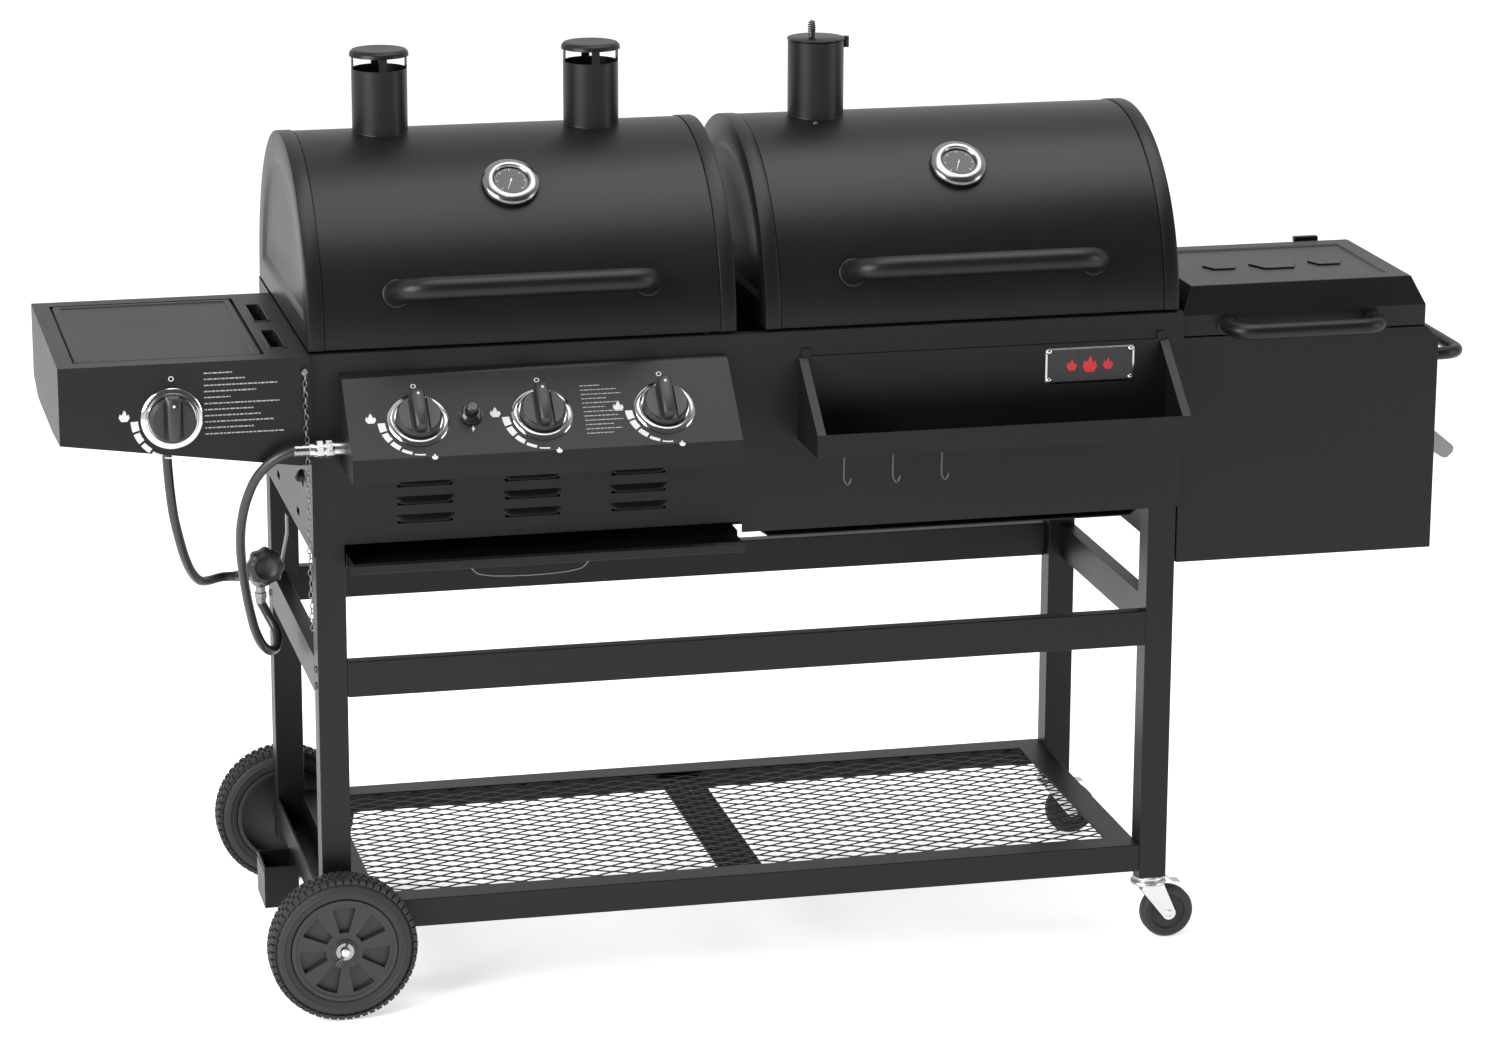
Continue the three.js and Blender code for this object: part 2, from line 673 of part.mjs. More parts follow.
function frontTray() {
  const x = [trayX, trayX + trayWidth];
  const back = box(x, [panelBackY - sheet, panelBackY], [panelBottom, trayTop]);
  const base = box(x, [-panelReach, panelBackY], [panelBottom, panelBottom + sheet]);
  const lip = box(x, [-panelReach, -panelReach + sheet], [panelBottom, panelLipTop]);
  const side = [
    [panelBackY, trayTop],
    [-panelReach, panelLipTop],
    [-panelReach, panelBottom],
    [panelBackY, panelBottom],
  ];
  const edge = folded([[panelBackY, trayTop], [-panelReach, panelLipTop]], sheet);
  const flangeWidth = 12;
  const sides = x.map((at, i) => {
    const inward = i === 0 ? [at, at + sheet] : [at - sheet, at];
    const flange = i === 0 ? [at, at + flangeWidth] : [at - flangeWidth, at];
    return prism('x', side, ...inward).add(prism('x', edge, ...flange));
  });
  const holes = hookX.map((at) => bar('z', [at, hookY, panelBottom - 1], sheet + 2, 4, 12));
  return cut(joined(back, base, lip, sides), cabinetSpace, holes);
}
node('front_tray', frontTray());

function hook(name, x) {
  const floor = panelBottom + sheet;
  const crook = 5;
  const route = [
    [x - 2 * crook, hookY, floor + 2],
    [x - 2 * crook, hookY, floor + 7],
    [x - 1.7 * crook, hookY, floor + 11],
    [x - crook, hookY, floor + 13],
    [x - 0.3 * crook, hookY, floor + 11],
    [x, hookY, floor + 6],
    [x, hookY, floor - 14],
    [x, hookY, floor - 34],
    [x + 0.4 * crook, hookY, floor - 40],
    [x + crook, hookY, floor - 43],
    [x + 1.7 * crook, hookY, floor - 40],
    [x + 2 * crook, hookY, floor - 34],
  ].map((p) => new THREE.Vector3(...p));
  node(name, along(new THREE.CatmullRomCurve3(route), hookWire, 24, 6), 'steel');
}
hookX.forEach((x, i) => hook(`hook_${i + 1}`, x));

// ---------------------------------------------------------------- barrel lids

// A point on the lid's skin, or out from it: degrees up from the front edge, and a distance out.
function onLid(angle, out) {
  const turn = THREE.MathUtils.degToRad(angle);
  return [lidY - (lidRadius + out) * Math.cos(turn), lidZ + (lidRadius + out) * Math.sin(turn)];
}

function radialHole(x, angle, radius) {
  const geometry = new THREE.CylinderGeometry(radius, radius, 40, 16);
  geometry.rotateX(THREE.MathUtils.degToRad(180 - angle));
  geometry.translate(x, ...onLid(angle, 0));
  return solid(geometry);
}

const halfRound = (radius, steps) => arc(radius, 0, 180, steps).map(([y, z]) => [y + lidY, z + lidZ]);

function barrelLid(x, width, holes) {
  const outside = prism('x', halfRound(lidRadius, 36), x, x + width);
  const inside = prism('x', halfRound(lidRadius - sheet, 36), x + sheet, x + width - sheet);
  const below = box([x - 1, x + width + 1], [0, cartDepth], [lidZ - 2, lidZ + 0.01]);
  return cut(outside, inside, below, holes);
}

const gasMiddle = gasLidX + gasLidWidth / 2;
const charcoalMiddle = charcoalLidX + charcoalLidWidth / 2;
const chimneyX = chimneyOffsets.map((offset) => gasMiddle + offset);
const stackX = charcoalLidX + stackOffset;
const upHole = (x, radius) => bar('z', [x, lidY, lidCrest - 20], 40, radius, 24);

const stemHole = gaugeStemRadius + 1;
const chimneyHoles = chimneyX.map((x) => upHole(x, chimneyRadius - sheet));
const gasHoles = [radialHole(gasMiddle, gaugeAngle, stemHole), ...chimneyHoles];
node('gas_lid', barrelLid(gasLidX, gasLidWidth, gasHoles));
const charcoalHoles = [radialHole(charcoalMiddle, gaugeAngle, stemHole), upHole(stackX, stackRadius - sheet)];
node('charcoal_lid', barrelLid(charcoalLidX, charcoalLidWidth, charcoalHoles));

function lidHandle(name, middle) {
  const half = handleLength / 2 - handleRadius;
  const foot = onLid(handleAngle, 1 + gap);
  const out = onLid(handleAngle, handleStandOff);
  const route = [
    [middle - half, ...foot],
    [middle - half, ...out],
    [middle + half, ...out],
    [middle + half, ...foot],
  ];
  const flanges = [-half, half].map((offset) => {
    const geometry = new THREE.CylinderGeometry(handleFlangeRadius, handleFlangeRadius, 3, 24);
    geometry.rotateX(THREE.MathUtils.degToRad(180 - handleAngle));
    geometry.translate(middle + offset, ...onLid(handleAngle, 1 + gap + 1.5));
    return solid(geometry);
  });
  node(name, joined(bent(route, handleRadius, 30, 12, handleBend), flanges));
}
lidHandle('gas_lid_handle', gasMiddle);
lidHandle('charcoal_lid_handle', charcoalMiddle);

function thermometer(name, middle) {
  const disc = new THREE.CylinderGeometry(gaugeRadius, gaugeRadius, gaugeDepth, 32);
  disc.translate(0, gaugeDepth / 2 + gap, 0);
  const stem = new THREE.CylinderGeometry(gaugeStemRadius, gaugeStemRadius, 64, 12);
  stem.translate(0, -28, 0);
  const pieces = [disc, stem].map((geometry) => {
    geometry.rotateX(THREE.MathUtils.degToRad(180 - gaugeAngle));
    geometry.translate(middle, ...onLid(gaugeAngle, 0));
    return solid(geometry);
  });
  node(name, joined(pieces), 'steel');
}
thermometer('gas_thermometer', gasMiddle);
thermometer('charcoal_thermometer', charcoalMiddle);

const lidSkin = prism('x', halfRound(lidRadius + gap, 36), gasLidX, charcoalLidX + charcoalLidWidth);

// A pipe that starts a little below the lid's crest, because its foot is cut to the lid's curve.
function pipe(x, radius, top) {
  const low = lidCrest - 12;
  return ring('z', [x, lidY, low], top - low, radius, radius - sheet, 32);
}

function chimney(name, x) {
  const capDepth = 9;
  const cap = bar('z', [x, lidY, chimneyCapTop - capDepth], capDepth, chimneyRadius + 2, 32);
  const posts = [0, 90, 180, 270].map((angle) => {
    const turn = THREE.MathUtils.degToRad(angle);
    const reach = chimneyRadius - 3;
    const at = [x + reach * Math.cos(turn), lidY + reach * Math.sin(turn), chimneyTop - 6];
    return bar('z', at, chimneyCapTop - chimneyTop - 2, 2.4, 8);
  });
  node(name, joined(cut(pipe(x, chimneyRadius, chimneyTop), lidSkin), cap, posts));
}
chimney('left_chimney', chimneyX[0]);
chimney('right_chimney', chimneyX[1]);

const earRadius = 6;
const damperPivotX = stackX + stackRadius + 4;
const pivotEar = bar('z', [damperPivotX, lidY, stackTop - 8], 8, earRadius, 16);
node('smoke_stack', cut(joined(pipe(stackX, stackRadius, stackTop), pivotEar), lidSkin));

function stackDamper() {
  const low = stackTop + gap;
  const discThickness = 2.5;
  const disc = bar('z', [stackX, lidY, low], discThickness, stackRadius + 1, 32);
  const ear = bar('z', [damperPivotX, lidY, low], discThickness, earRadius, 16);
  const grip = bar('z', [stackX - 6, lidY, low + 1], 27, 4, 12);
  return joined(disc, ear, grip);
}
node('stack_damper', stackDamper());

// ---------------------------------------------------------------- side burner shelf

const shelfX = [cabinetLeft - gap - shelfLength, cabinetLeft - gap];
const shelfBackY = shelfFrontY + shelfDepth;
const well = { x: [wellX, wellX + wellWidth], y: [wellY, wellY + wellDepth] };
const wellMiddle = [(well.x[0] + well.x[1]) / 2, (well.y[0] + well.y[1]) / 2];
const sideKnob = { x: wellMiddle[0] - 1, z: cabinetTop - 74 };

function sideShelf() {
  const top = box(shelfX, [shelfFrontY, shelfBackY], [cabinetTop - sheet, cabinetTop]);
  const front = prism('y', [
    [shelfX[0], cabinetTop],
    [shelfX[0], cabinetTop - shelfFrontHeight],
    [shelfX[1] - 18, cabinetTop - shelfFrontHeight - 43],
    [shelfX[1], cabinetTop - shelfFrontHeight - 43],
    [shelfX[1], cabinetTop],
  ], shelfFrontY, shelfFrontY + sheet);
  const end = prism('x', [
    [shelfFrontY, cabinetTop],
    [shelfFrontY, cabinetTop - shelfFrontHeight],
    [104, cabinetTop - shelfFrontHeight - 9],
    [328, cabinetTop - shelfFrontHeight - 14],
    [shelfBackY, cabinetTop - shelfFrontHeight + 4],
    [shelfBackY, cabinetTop],
  ], shelfX[0], shelfX[0] + sheet);
  const back = box(shelfX, [shelfBackY - sheet, shelfBackY], [cabinetTop - shelfFrontHeight + 4, cabinetTop]);
  const grow = ([low, high], by) => [low - by, high + by];
  const wellLow = cabinetTop - wellDrop;
  const tub = box(grow(well.x, sheet), grow(well.y, sheet), [wellLow, cabinetTop]);
  const hollow = box(well.x, well.y, [wellLow + sheet, cabinetTop + 1]);
  const ledgeZ = [cabinetTop - 7, cabinetTop - 5];
  const ledge = box(grow(well.x, 1), grow(well.y, 1), ledgeZ);
  const ledgeHole = box(grow(well.x, -9), grow(well.y, -9), [ledgeZ[0] - 1, ledgeZ[1] + 1]);
  const burnerHole = bar('z', [...wellMiddle, wellLow - 1], 4, 26, 24);
  const shaftHole = shaftRadius + panelHoleClearance;
  const knobHole = bar('y', [sideKnob.x, shelfFrontY - 1, sideKnob.z], 4, shaftHole, 20);
  const slotX = [toolSlot.x, toolSlot.x + toolSlot.width];
  const slots = toolSlot.y.map((y) => box(slotX, [y, y + toolSlot.length], [cabinetTop - 4, cabinetTop + 1]));
  const shell = cut(joined(top, front, end, back, tub), hollow);
  return cut(shell.add(cut(ledge, ledgeHole)), burnerHole, knobHole, slots);
}
node('side_shelf', sideShelf());

const burnerLidClearance = 1.5;
const burnerLid = {
  x: [well.x[0] + burnerLidClearance, well.x[1] - burnerLidClearance],
  y: [well.y[0] + burnerLidClearance, well.y[1] - burnerLidClearance],
};
node('side_burner_lid', box(burnerLid.x, burnerLid.y, [cabinetTop - 4, cabinetTop]));

const hoseStubY = 70;
const hoseRadius = 6.5;

function sideBurner() {
  const floor = cabinetTop - wellDrop;
  const head = bar('z', [...wellMiddle, floor + sheet + gap], 16, 46, 32);
  const throat = bar('z', [...wellMiddle, sideKnob.z], floor - sideKnob.z + 6, 12, 16);
  const valveY = 11;
  const tube = bar('y', [sideKnob.x, valveY, sideKnob.z], wellMiddle[1] - valveY + 10, manifoldRadius, 16);
  const around = (value) => [value - 12, value + 12];
  const valve = box(around(sideKnob.x), [valveY, valveY + 30], around(sideKnob.z));
  const stub = bar('z', [sideKnob.x, hoseStubY, sideKnob.z - 24], 24, hoseRadius + 1, 16);
  return joined(head, throat, tube, valve, stub);
}
node('side_burner', sideBurner(), 'castIron');

node('side_knob', knobSolid(), 'plastic', { at: [sideKnob.x, shelfFrontY, sideKnob.z], tilt: Math.PI / 2 });

// ---------------------------------------------------------------- firebox

const fireboxRight = fireboxX + fireboxWidth;
const fireboxY = [fireboxFrontY, fireboxFrontY + fireboxDepth];
const fireboxTop = fireboxBottom + fireboxHeight;
const damperHoleY = [70, 120, 170];
const damperHoleRadius = 11;
const damperTravel = 25;
const damperMiddleZ = damperZ + damperHeight / 2;

function fireboxBody() {
  const outline = (inset) => [
    [fireboxX + inset, fireboxBottom + inset],
    [fireboxRight - inset, fireboxBottom + inset],
    [fireboxRight - inset, fireboxTop - fireboxBevel],
    [fireboxRight - fireboxBevel - inset, fireboxTop + 1],
    [fireboxX + inset, fireboxTop + 1],
  ];
  const outside = prism('y', outline(0), ...fireboxY);
  const inside = prism('y', outline(sheet), fireboxY[0] + sheet, fireboxY[1] - sheet);
  const above = box([fireboxX - 1, fireboxRight + 1], [0, cartDepth], [fireboxTop, fireboxTop + 4]);
  const wall = [fireboxRight - sheet - 1, fireboxRight + 1];
  const holes = damperHoleY.map((y) =>
    bar('x', [wall[0], y, damperMiddleZ], sheet + 2, damperHoleRadius, 16));
  const opening = box([fireboxX - 1, fireboxX + sheet + 1], ...port);
  const guides = [damperZ - 4, damperZ + damperHeight + 1].map((z) =>
    box([fireboxRight - 0.5, fireboxRight + 5], [40, 250], [z, z + 3]));
  return cut(joined(cut(outside, inside, above), guides), holes, opening);
}
node('firebox_body', fireboxBody());

function fireboxLid() {
  const low = fireboxTop + 2;
  const x = [fireboxX, fireboxRight - fireboxBevel - 1];
  const hip = ([from, to], thickness) => [
    [from + thickness, low - thickness],
    [to - thickness, low - thickness],
    [to - thickness, low + fireboxLidSkirt],
    [to - fireboxLidInset - thickness / 2, low + fireboxLidHeight - thickness],
    [from + fireboxLidInset + thickness / 2, low + fireboxLidHeight - thickness],
    [from + thickness, low + fireboxLidSkirt],
  ];
  const hipped = (thickness) => prism('y', hip(x, thickness), ...fireboxY)
    .intersect(prism('x', hip(fireboxY, thickness), ...x));
  const below = box([x[0] - 1, x[1] + 1], [0, cartDepth], [low - 10, low]);
  return cut(hipped(0), hipped(sheet), below);
}
node('firebox_lid', fireboxLid());

function smallHandle(name, route, radius) {
  node(name, bent(route, radius, 24, 10, 30));
}

const lidHandleX = [64, 280].map((offset) => fireboxX + offset - gap);
const lidHandleZ = fireboxTop + 15;
smallHandle('firebox_lid_handle', [
  [lidHandleX[0], fireboxFrontY - gap, lidHandleZ],
  [lidHandleX[0], fireboxFrontY - 50, lidHandleZ],
  [lidHandleX[1], fireboxFrontY - 50, lidHandleZ],
  [lidHandleX[1], fireboxFrontY - gap, lidHandleZ],
], 11);

const sideHandle = { y: [42, 250], z: fireboxTop - 50, reach: 52 };
smallHandle('firebox_side_handle', [
  [fireboxRight + gap, sideHandle.y[0], sideHandle.z],
  [fireboxRight + sideHandle.reach, sideHandle.y[0], sideHandle.z],
  [fireboxRight + sideHandle.reach, sideHandle.y[1], sideHandle.z],
  [fireboxRight + gap, sideHandle.y[1], sideHandle.z],
], 9);

function fireboxDamper() {
  const x = [fireboxRight + gap, fireboxRight + gap + sheet];
  const y = [10, 215];
  const slide = box(x, y, [damperZ, damperZ + damperHeight]);
  const holes = damperHoleY.map((at) =>
    bar('x', [x[0] - 1, at - damperTravel, damperMiddleZ], sheet + 2, damperHoleRadius, 16));
  const tab = prism('y', [
    [x[0], damperZ + damperHeight],
    [x[0], damperZ + 14],
    [x[0] + 22, damperZ],
    [x[0] + 34, damperZ + 8],
    [x[0] + 36, damperZ + 24],
  ], y[0], y[0] + sheet);
  return joined(cut(slide, holes), tab);
}
node('firebox_damper', fireboxDamper(), 'zinc');

// ---------------------------------------------------------------- gas supply

const regulatorAt = [-43, 256, 548];

// The hose route from the crimped fitting, down and back under itself to the regulator.
const gasHoseRoute = [
  [fittingX - gap, -34, 797], [-32, -34, 796], [-56, -30, 785], [-77, -20, 762], [-90, -4, 728],
  [-96, 16, 688], [-95, 40, 648], [-90, 64, 608], [-83, 88, 570], [-75, 112, 534],
  [-66, 136, 502], [-54, 160, 475], [-40, 186, 458], [-28, 213, 456], [-25, 237, 470], [-34, 252, 490],
  [regulatorAt[0], regulatorAt[1], regulatorAt[2] - 39.5],
];

// The side burner's hose, from its valve down and along to the regulator.
const sideHoseRoute = [
  [-187, 70, 819], [-187, 70, 795], [-186, 72, 760], [-183, 78, 722], [-178, 88, 684],
  [-170, 104, 648], [-160, 128, 613], [-148, 158, 584], [-134, 192, 563], [-118, 228, 552],
  [regulatorAt[0] - 52, regulatorAt[1], regulatorAt[2]],
  [regulatorAt[0] - 35, regulatorAt[1], regulatorAt[2]],
];

function hose(name, route) {
  const vectors = route.map((p) => new THREE.Vector3(...p));
  const path = new THREE.CatmullRomCurve3(vectors, false, 'centripetal');
  node(name, along(path, hoseRadius, 32, 8), 'rubber');
}
hose('gas_hose', gasHoseRoute);
hose('side_burner_hose', sideHoseRoute);

// The regulator with its hand wheel, ports and the strap that hangs it on the cabinet's side.
function regulator() {
  const [x, y, z] = regulatorAt;
  const body = bar('y', [x, y - 16, z], 30, 27, 24);
  const handWheel = bar('y', [x + 2, y - 52, z + 12], 26, 20, 16);
  const neck = bar('y', [x + 2, y - 30, z + 12], 20, 9, 12);
  const below = bar('z', [x, y, z - 36 + gap], 20, hoseRadius + 1, 12);
  const beside = bar('x', [x - 35 + gap, y, z], 20, hoseRadius + 1, 12);
  const strap = folded([
    [cabinetLeft - gap, 700],
    [cabinetLeft - gap, 608],
    [-12, 566],
    [-34, 552],
  ], -plate);
  return joined(body, handWheel, neck, below, beside, prism('y', strap, y - 12, y + 8));
}
node('regulator', regulator(), 'zinc');

// ---------------------------------------------------------------- origin

const footprint = new THREE.Box3();
grill.updateMatrixWorld(true);
grill.children
  .filter((mesh) => !cordNodes.includes(mesh.name))
  .forEach((mesh) => footprint.union(new THREE.Box3().setFromObject(mesh, true)));
const middle = footprint.getCenter(new THREE.Vector3());
grill.position.set(-middle.x, -middle.y, -footprint.min.z);

export default grill;
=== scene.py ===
"""Looks of a grill on a cart: two barrel lids, a side burner shelf and an offset firebox."""

import json
import math

import bmesh
import bpy
from bpy.props import FloatProperty, FloatVectorProperty, IntProperty, PointerProperty
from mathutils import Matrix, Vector


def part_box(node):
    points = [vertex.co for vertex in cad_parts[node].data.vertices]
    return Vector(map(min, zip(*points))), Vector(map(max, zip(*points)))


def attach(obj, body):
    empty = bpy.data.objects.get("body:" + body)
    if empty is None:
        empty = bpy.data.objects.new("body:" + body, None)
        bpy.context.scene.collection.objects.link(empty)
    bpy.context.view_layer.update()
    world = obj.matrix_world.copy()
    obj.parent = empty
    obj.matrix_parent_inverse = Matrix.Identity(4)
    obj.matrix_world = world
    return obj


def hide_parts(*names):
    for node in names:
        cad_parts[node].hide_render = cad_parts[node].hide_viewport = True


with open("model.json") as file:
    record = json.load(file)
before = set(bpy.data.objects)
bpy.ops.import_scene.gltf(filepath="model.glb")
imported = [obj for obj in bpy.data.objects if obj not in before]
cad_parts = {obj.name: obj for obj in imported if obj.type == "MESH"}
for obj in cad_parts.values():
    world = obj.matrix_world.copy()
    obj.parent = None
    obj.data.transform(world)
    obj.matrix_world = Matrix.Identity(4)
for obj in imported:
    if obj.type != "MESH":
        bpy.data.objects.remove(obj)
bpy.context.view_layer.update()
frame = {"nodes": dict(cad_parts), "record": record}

bl_info = {
    "name": "Combination Grill Looks",
    "version": (1, 0, 0),
    "blender": (4, 5, 0),
    "location": "View3D > Sidebar > Grill",
    "description": "Builds the visible pieces and finishes of a combination grill",
    "category": "Object",
}

NODES = frame["nodes"]
BODY_OF = {
    node: body for body, members in frame["record"]["behaviour"]["bodies"].items() for node in members
}
X, Y, Z = Vector((1, 0, 0)), Vector((0, 1, 0)), Vector((0, 0, 1))


class Box:
    """The lowest and highest corner of a node at rest."""

    def __init__(self, node):
        low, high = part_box(node)
        self.low, self.high = Vector(low), Vector(high)
        self.mid = (self.low + self.high) / 2
        self.size = self.high - self.low


BOX = {node: Box(node) for node in NODES}
CORNER = Vector((BOX["front_left_leg"].low.x, BOX["front_left_leg"].low.y, 0))
MM = 0.001


def at(x, y, z):
    """A point in metres from millimetres right of, behind and above the cart's left front corner."""
    return CORNER + Vector((x, y, z)) * MM


# ---------------------------------------------------------------- shader maths


class Value:
    """A socket of a material's nodes, with the usual operators on it."""

    def __init__(self, finish, socket):
        self.finish, self.socket = finish, socket

    def math(self, operation, first, second=None):
        inputs = {0: first} if second is None else {0: first, 1: second}
        return self.finish.node("ShaderNodeMath", {"operation": operation}, inputs)

    def __add__(self, other):
        return self.math("ADD", self, other)

    def __radd__(self, other):
        return self.math("ADD", other, self)

    def __sub__(self, other):
        return self.math("SUBTRACT", self, other)

    def __rsub__(self, other):
        return self.math("SUBTRACT", other, self)

    def __mul__(self, other):
        return self.math("MULTIPLY", self, other)

    def __rmul__(self, other):
        return self.math("MULTIPLY", other, self)

    def contrast(self, gain, drop):
        """The value times gain less drop, kept between 0 and 1."""
        return self.finish.node("ShaderNodeClamp", {}, {"Value": self * gain - drop}, "Result")

    def swing(self, amount):
        """How far the value is from its middle, times an amount."""
        return (self - 0.5) * amount


class Finish:
    """A node-based material made of one Principled shader."""

    def __init__(self, name, **constants):
        self.material = bpy.data.materials.new(name)
        self.material.use_nodes = True
        self.tree = self.material.node_tree
        self.shader = next(n for n in self.tree.nodes if n.type == "BSDF_PRINCIPLED")
        for socket, value in constants.items():
            self.shader.inputs[socket.replace("_", " ")].default_value = value
        self.where = self.node("ShaderNodeTexCoord", {}, {}, "Object")

    def node(self, kind, settings, inputs, output=0):
        made = self.tree.nodes.new(kind)
        for setting, value in settings.items():
            if setting == "stops":
                self.set_stops(made.color_ramp, value)
            else:
                setattr(made, setting, value)
        for key, value in inputs.items():
            self.feed(made.inputs[key], value)
        return Value(self, made.outputs[output])

    @staticmethod
    def set_stops(ramp, stops):
        for index, (position, colour) in enumerate(stops):
            stop = ramp.elements[index] if index < 2 else ramp.elements.new(position)
            stop.position, stop.color = position, (*colour, 1)

    def feed(self, socket, value):
        if isinstance(value, Value):
            self.tree.links.new(value.socket, socket)
        elif socket.type == "RGBA" and len(value) == 3:
            socket.default_value = (*value, 1)
        else:
            socket.default_value = value

    def noise(self, scale, detail=2.0, stretch=None):
        where = self.where
        if stretch:
            where = self.node("ShaderNodeMapping", {}, {"Vector": where, "Scale": stretch}, "Vector")
        inputs = {"Vector": where, "Scale": scale, "Detail": detail}
        return self.node("ShaderNodeTexNoise", {}, inputs, "Fac")

    def mix(self, amount, first, second):
        return self.node("ShaderNodeMix", {"data_type": "RGBA"}, {0: amount, 6: first, 7: second}, 2)

    def bump(self, height, strength, distance):
        inputs = {"Height": height, "Strength": strength, "Distance": distance}
        self.feed(self.shader.inputs["Normal"], self.node("ShaderNodeBump", {}, inputs, "Normal"))

    def surface(self, **sockets):
        for socket, value in sockets.items():
            self.feed(self.shader.inputs[socket.replace("_", " ")], value)
        return self.material


def shade(colour, factor):
    return tuple(min(1.0, part * factor) for part in colour)


def powder_coat(name, colour, roughness, grain):
    """Baked-on black powder: a fine orange-peel texture with slightly uneven gloss."""
    finish = Finish(name, Specular_IOR_Level=0.27)
    fine = finish.noise(650 / grain, 3)
    broad = finish.noise(5, 3)
    finish.bump(fine, strength=0.35, distance=0.00025 * grain)
    tone = finish.mix(broad.contrast(1.6, 0.3), shade(colour, 0.82), shade(colour, 1.2))
    specks = finish.mix(fine.contrast(3.0, 1.9), tone, shade(colour, 1.9))
    gloss = roughness + fine.swing(0.16) + broad.swing(0.1)
    return finish.surface(Base_Color=specks, Roughness=gloss)


def bare_metal(name, colour, roughness, streak=None):
    """Bright metal with fine drawing or polishing lines and faint smears."""
    finish = Finish(name, Metallic=1.0)
    lines = finish.noise(400, 3, streak or (1, 1, 1))
    smear = finish.noise(30, 2)
    finish.bump(lines, strength=0.12, distance=0.0001)
    tone = finish.mix(smear.contrast(1.5, 0.25), shade(colour, 0.85), colour)
    gloss = roughness + lines.swing(0.12) + smear.swing(0.1)
    return finish.surface(Base_Color=tone, Roughness=gloss)


def moulded(name, colour, roughness, grain=0.00008, scale=900):
    """Moulded plastic or rubber with a fine spark texture and handling marks."""
    finish = Finish(name, Specular_IOR_Level=0.45)
    fine = finish.noise(scale, 2)
    marks = finish.noise(25, 3)
    finish.bump(fine, strength=0.3, distance=grain)
    tone = finish.mix(marks.contrast(1.6, 0.3), shade(colour, 0.85), shade(colour, 1.25))
    return finish.surface(Base_Color=tone, Roughness=roughness + marks.swing(0.16))


def printed(name, colour):
    """Screen-printed ink, a little thin in places."""
    finish = Finish(name)
    thin = finish.noise(300, 3)
    tone = finish.mix(thin.contrast(2.0, 1.0), colour, shade(colour, 0.8))
    return finish.surface(Base_Color=tone, Roughness=0.5 + thin.swing(0.2))


FINISHES = {}


def make_finishes(sizes):
    """Every finish of the grill, by name."""
    coat, gloss = tuple(sizes.coat_colour), sizes.coat_roughness
    FINISHES.update(
        coat=powder_coat("Black powder coat", coat, gloss, 1.0),
        barrel=powder_coat("Heat-resistant black paint", shade(coat, 1.1), gloss - 0.03, 0.8),
        iron=powder_coat("Seasoned cast iron", (0.012, 0.011, 0.011), 0.62, 2.2),
        chrome=bare_metal("Polished chrome", (0.62, 0.62, 0.63), 0.12),
        satin=bare_metal("Satin steel", (0.3, 0.3, 0.305), 0.22),
        dull=bare_metal("Dull plated steel", (0.24, 0.24, 0.245), 0.42),
        steel=bare_metal("Drawn steel", (0.6, 0.6, 0.61), 0.28, (1, 12, 1)),
        zinc=bare_metal("Zinc plate", (0.66, 0.66, 0.67), 0.33),
        dark_wire=bare_metal("Darkened wire", (0.09, 0.09, 0.095), 0.4),
        plastic=moulded("Moulded black plastic", (0.016, 0.016, 0.017), 0.42),
        gloss=moulded("Glossy black plastic", (0.012, 0.012, 0.013), 0.2),
        rubber=moulded("Black wheel rubber", (0.014, 0.014, 0.015), 0.62, 0.0002, 500),
        hose=moulded("Black hose rubber", (0.016, 0.016, 0.017), 0.36, 0.00004, 1200),
        ink=printed("White printed ink", (0.5, 0.5, 0.5)),
        faint_ink=printed("Small grey print", (0.27, 0.27, 0.27)),
        red_ink=printed("Red badge enamel", (0.6, 0.03, 0.03)),
    )


# ---------------------------------------------------------------- mesh building


def turned(direction):
    """Three axes, the last along direction."""
    along = Vector(direction).normalized()
    guide = Z if abs(along.z) < 0.9 else X
    side = guide.cross(along).normalized()
    return side, along.cross(side), along


def circle(radius, sides):
    """Points of (u, v) evenly round a circle."""
    turns = [math.tau * i / sides for i in range(sides)]
    return [(radius * math.cos(turn), radius * math.sin(turn)) for turn in turns]


def arc(centre, radius, start, end, steps):
    """Points of (u, v) on an arc, in degrees."""
    turns = [math.radians(start + (end - start) * i / steps) for i in range(steps + 1)]
    return [(centre[0] + radius * math.cos(turn), centre[1] + radius * math.sin(turn)) for turn in turns]


def oblong(left, low, right, high):
    """The outline of a rectangle between two corners."""
    return [(left, low), (right, low), (right, high), (left, high)]


def rounded(width, height, radius, steps=4):
    """The outline of a rectangle about the origin with round corners."""
    u, v = width / 2 - radius, height / 2 - radius
    corners = [((u, v), 0), ((-u, v), 90), ((-u, -v), 180), ((u, -v), 270)]
    return [point for centre, start in corners for point in arc(centre, radius, start, start + 90, steps)]


def placed(outline, u, v, size):
    """An outline scaled by size and moved to (u, v)."""
    return [(u + x * size, v + y * size) for x, y in outline]


def level_ring(centre, width, depth, radius, z):
    """A rounded rectangle that lies level, about a centre."""
    return [Vector((centre.x + u, centre.y + v, z)) for u, v in rounded(width, depth, radius)]


def disc(radius, low, high):
    """The profile of a plain disc or pin."""
    return [(0, low), (radius, low), (radius, high), (0, high)]


def add_object(name, data):
    made = bpy.data.objects.new(name, data)
    bpy.context.scene.collection.objects.link(made)
    return made


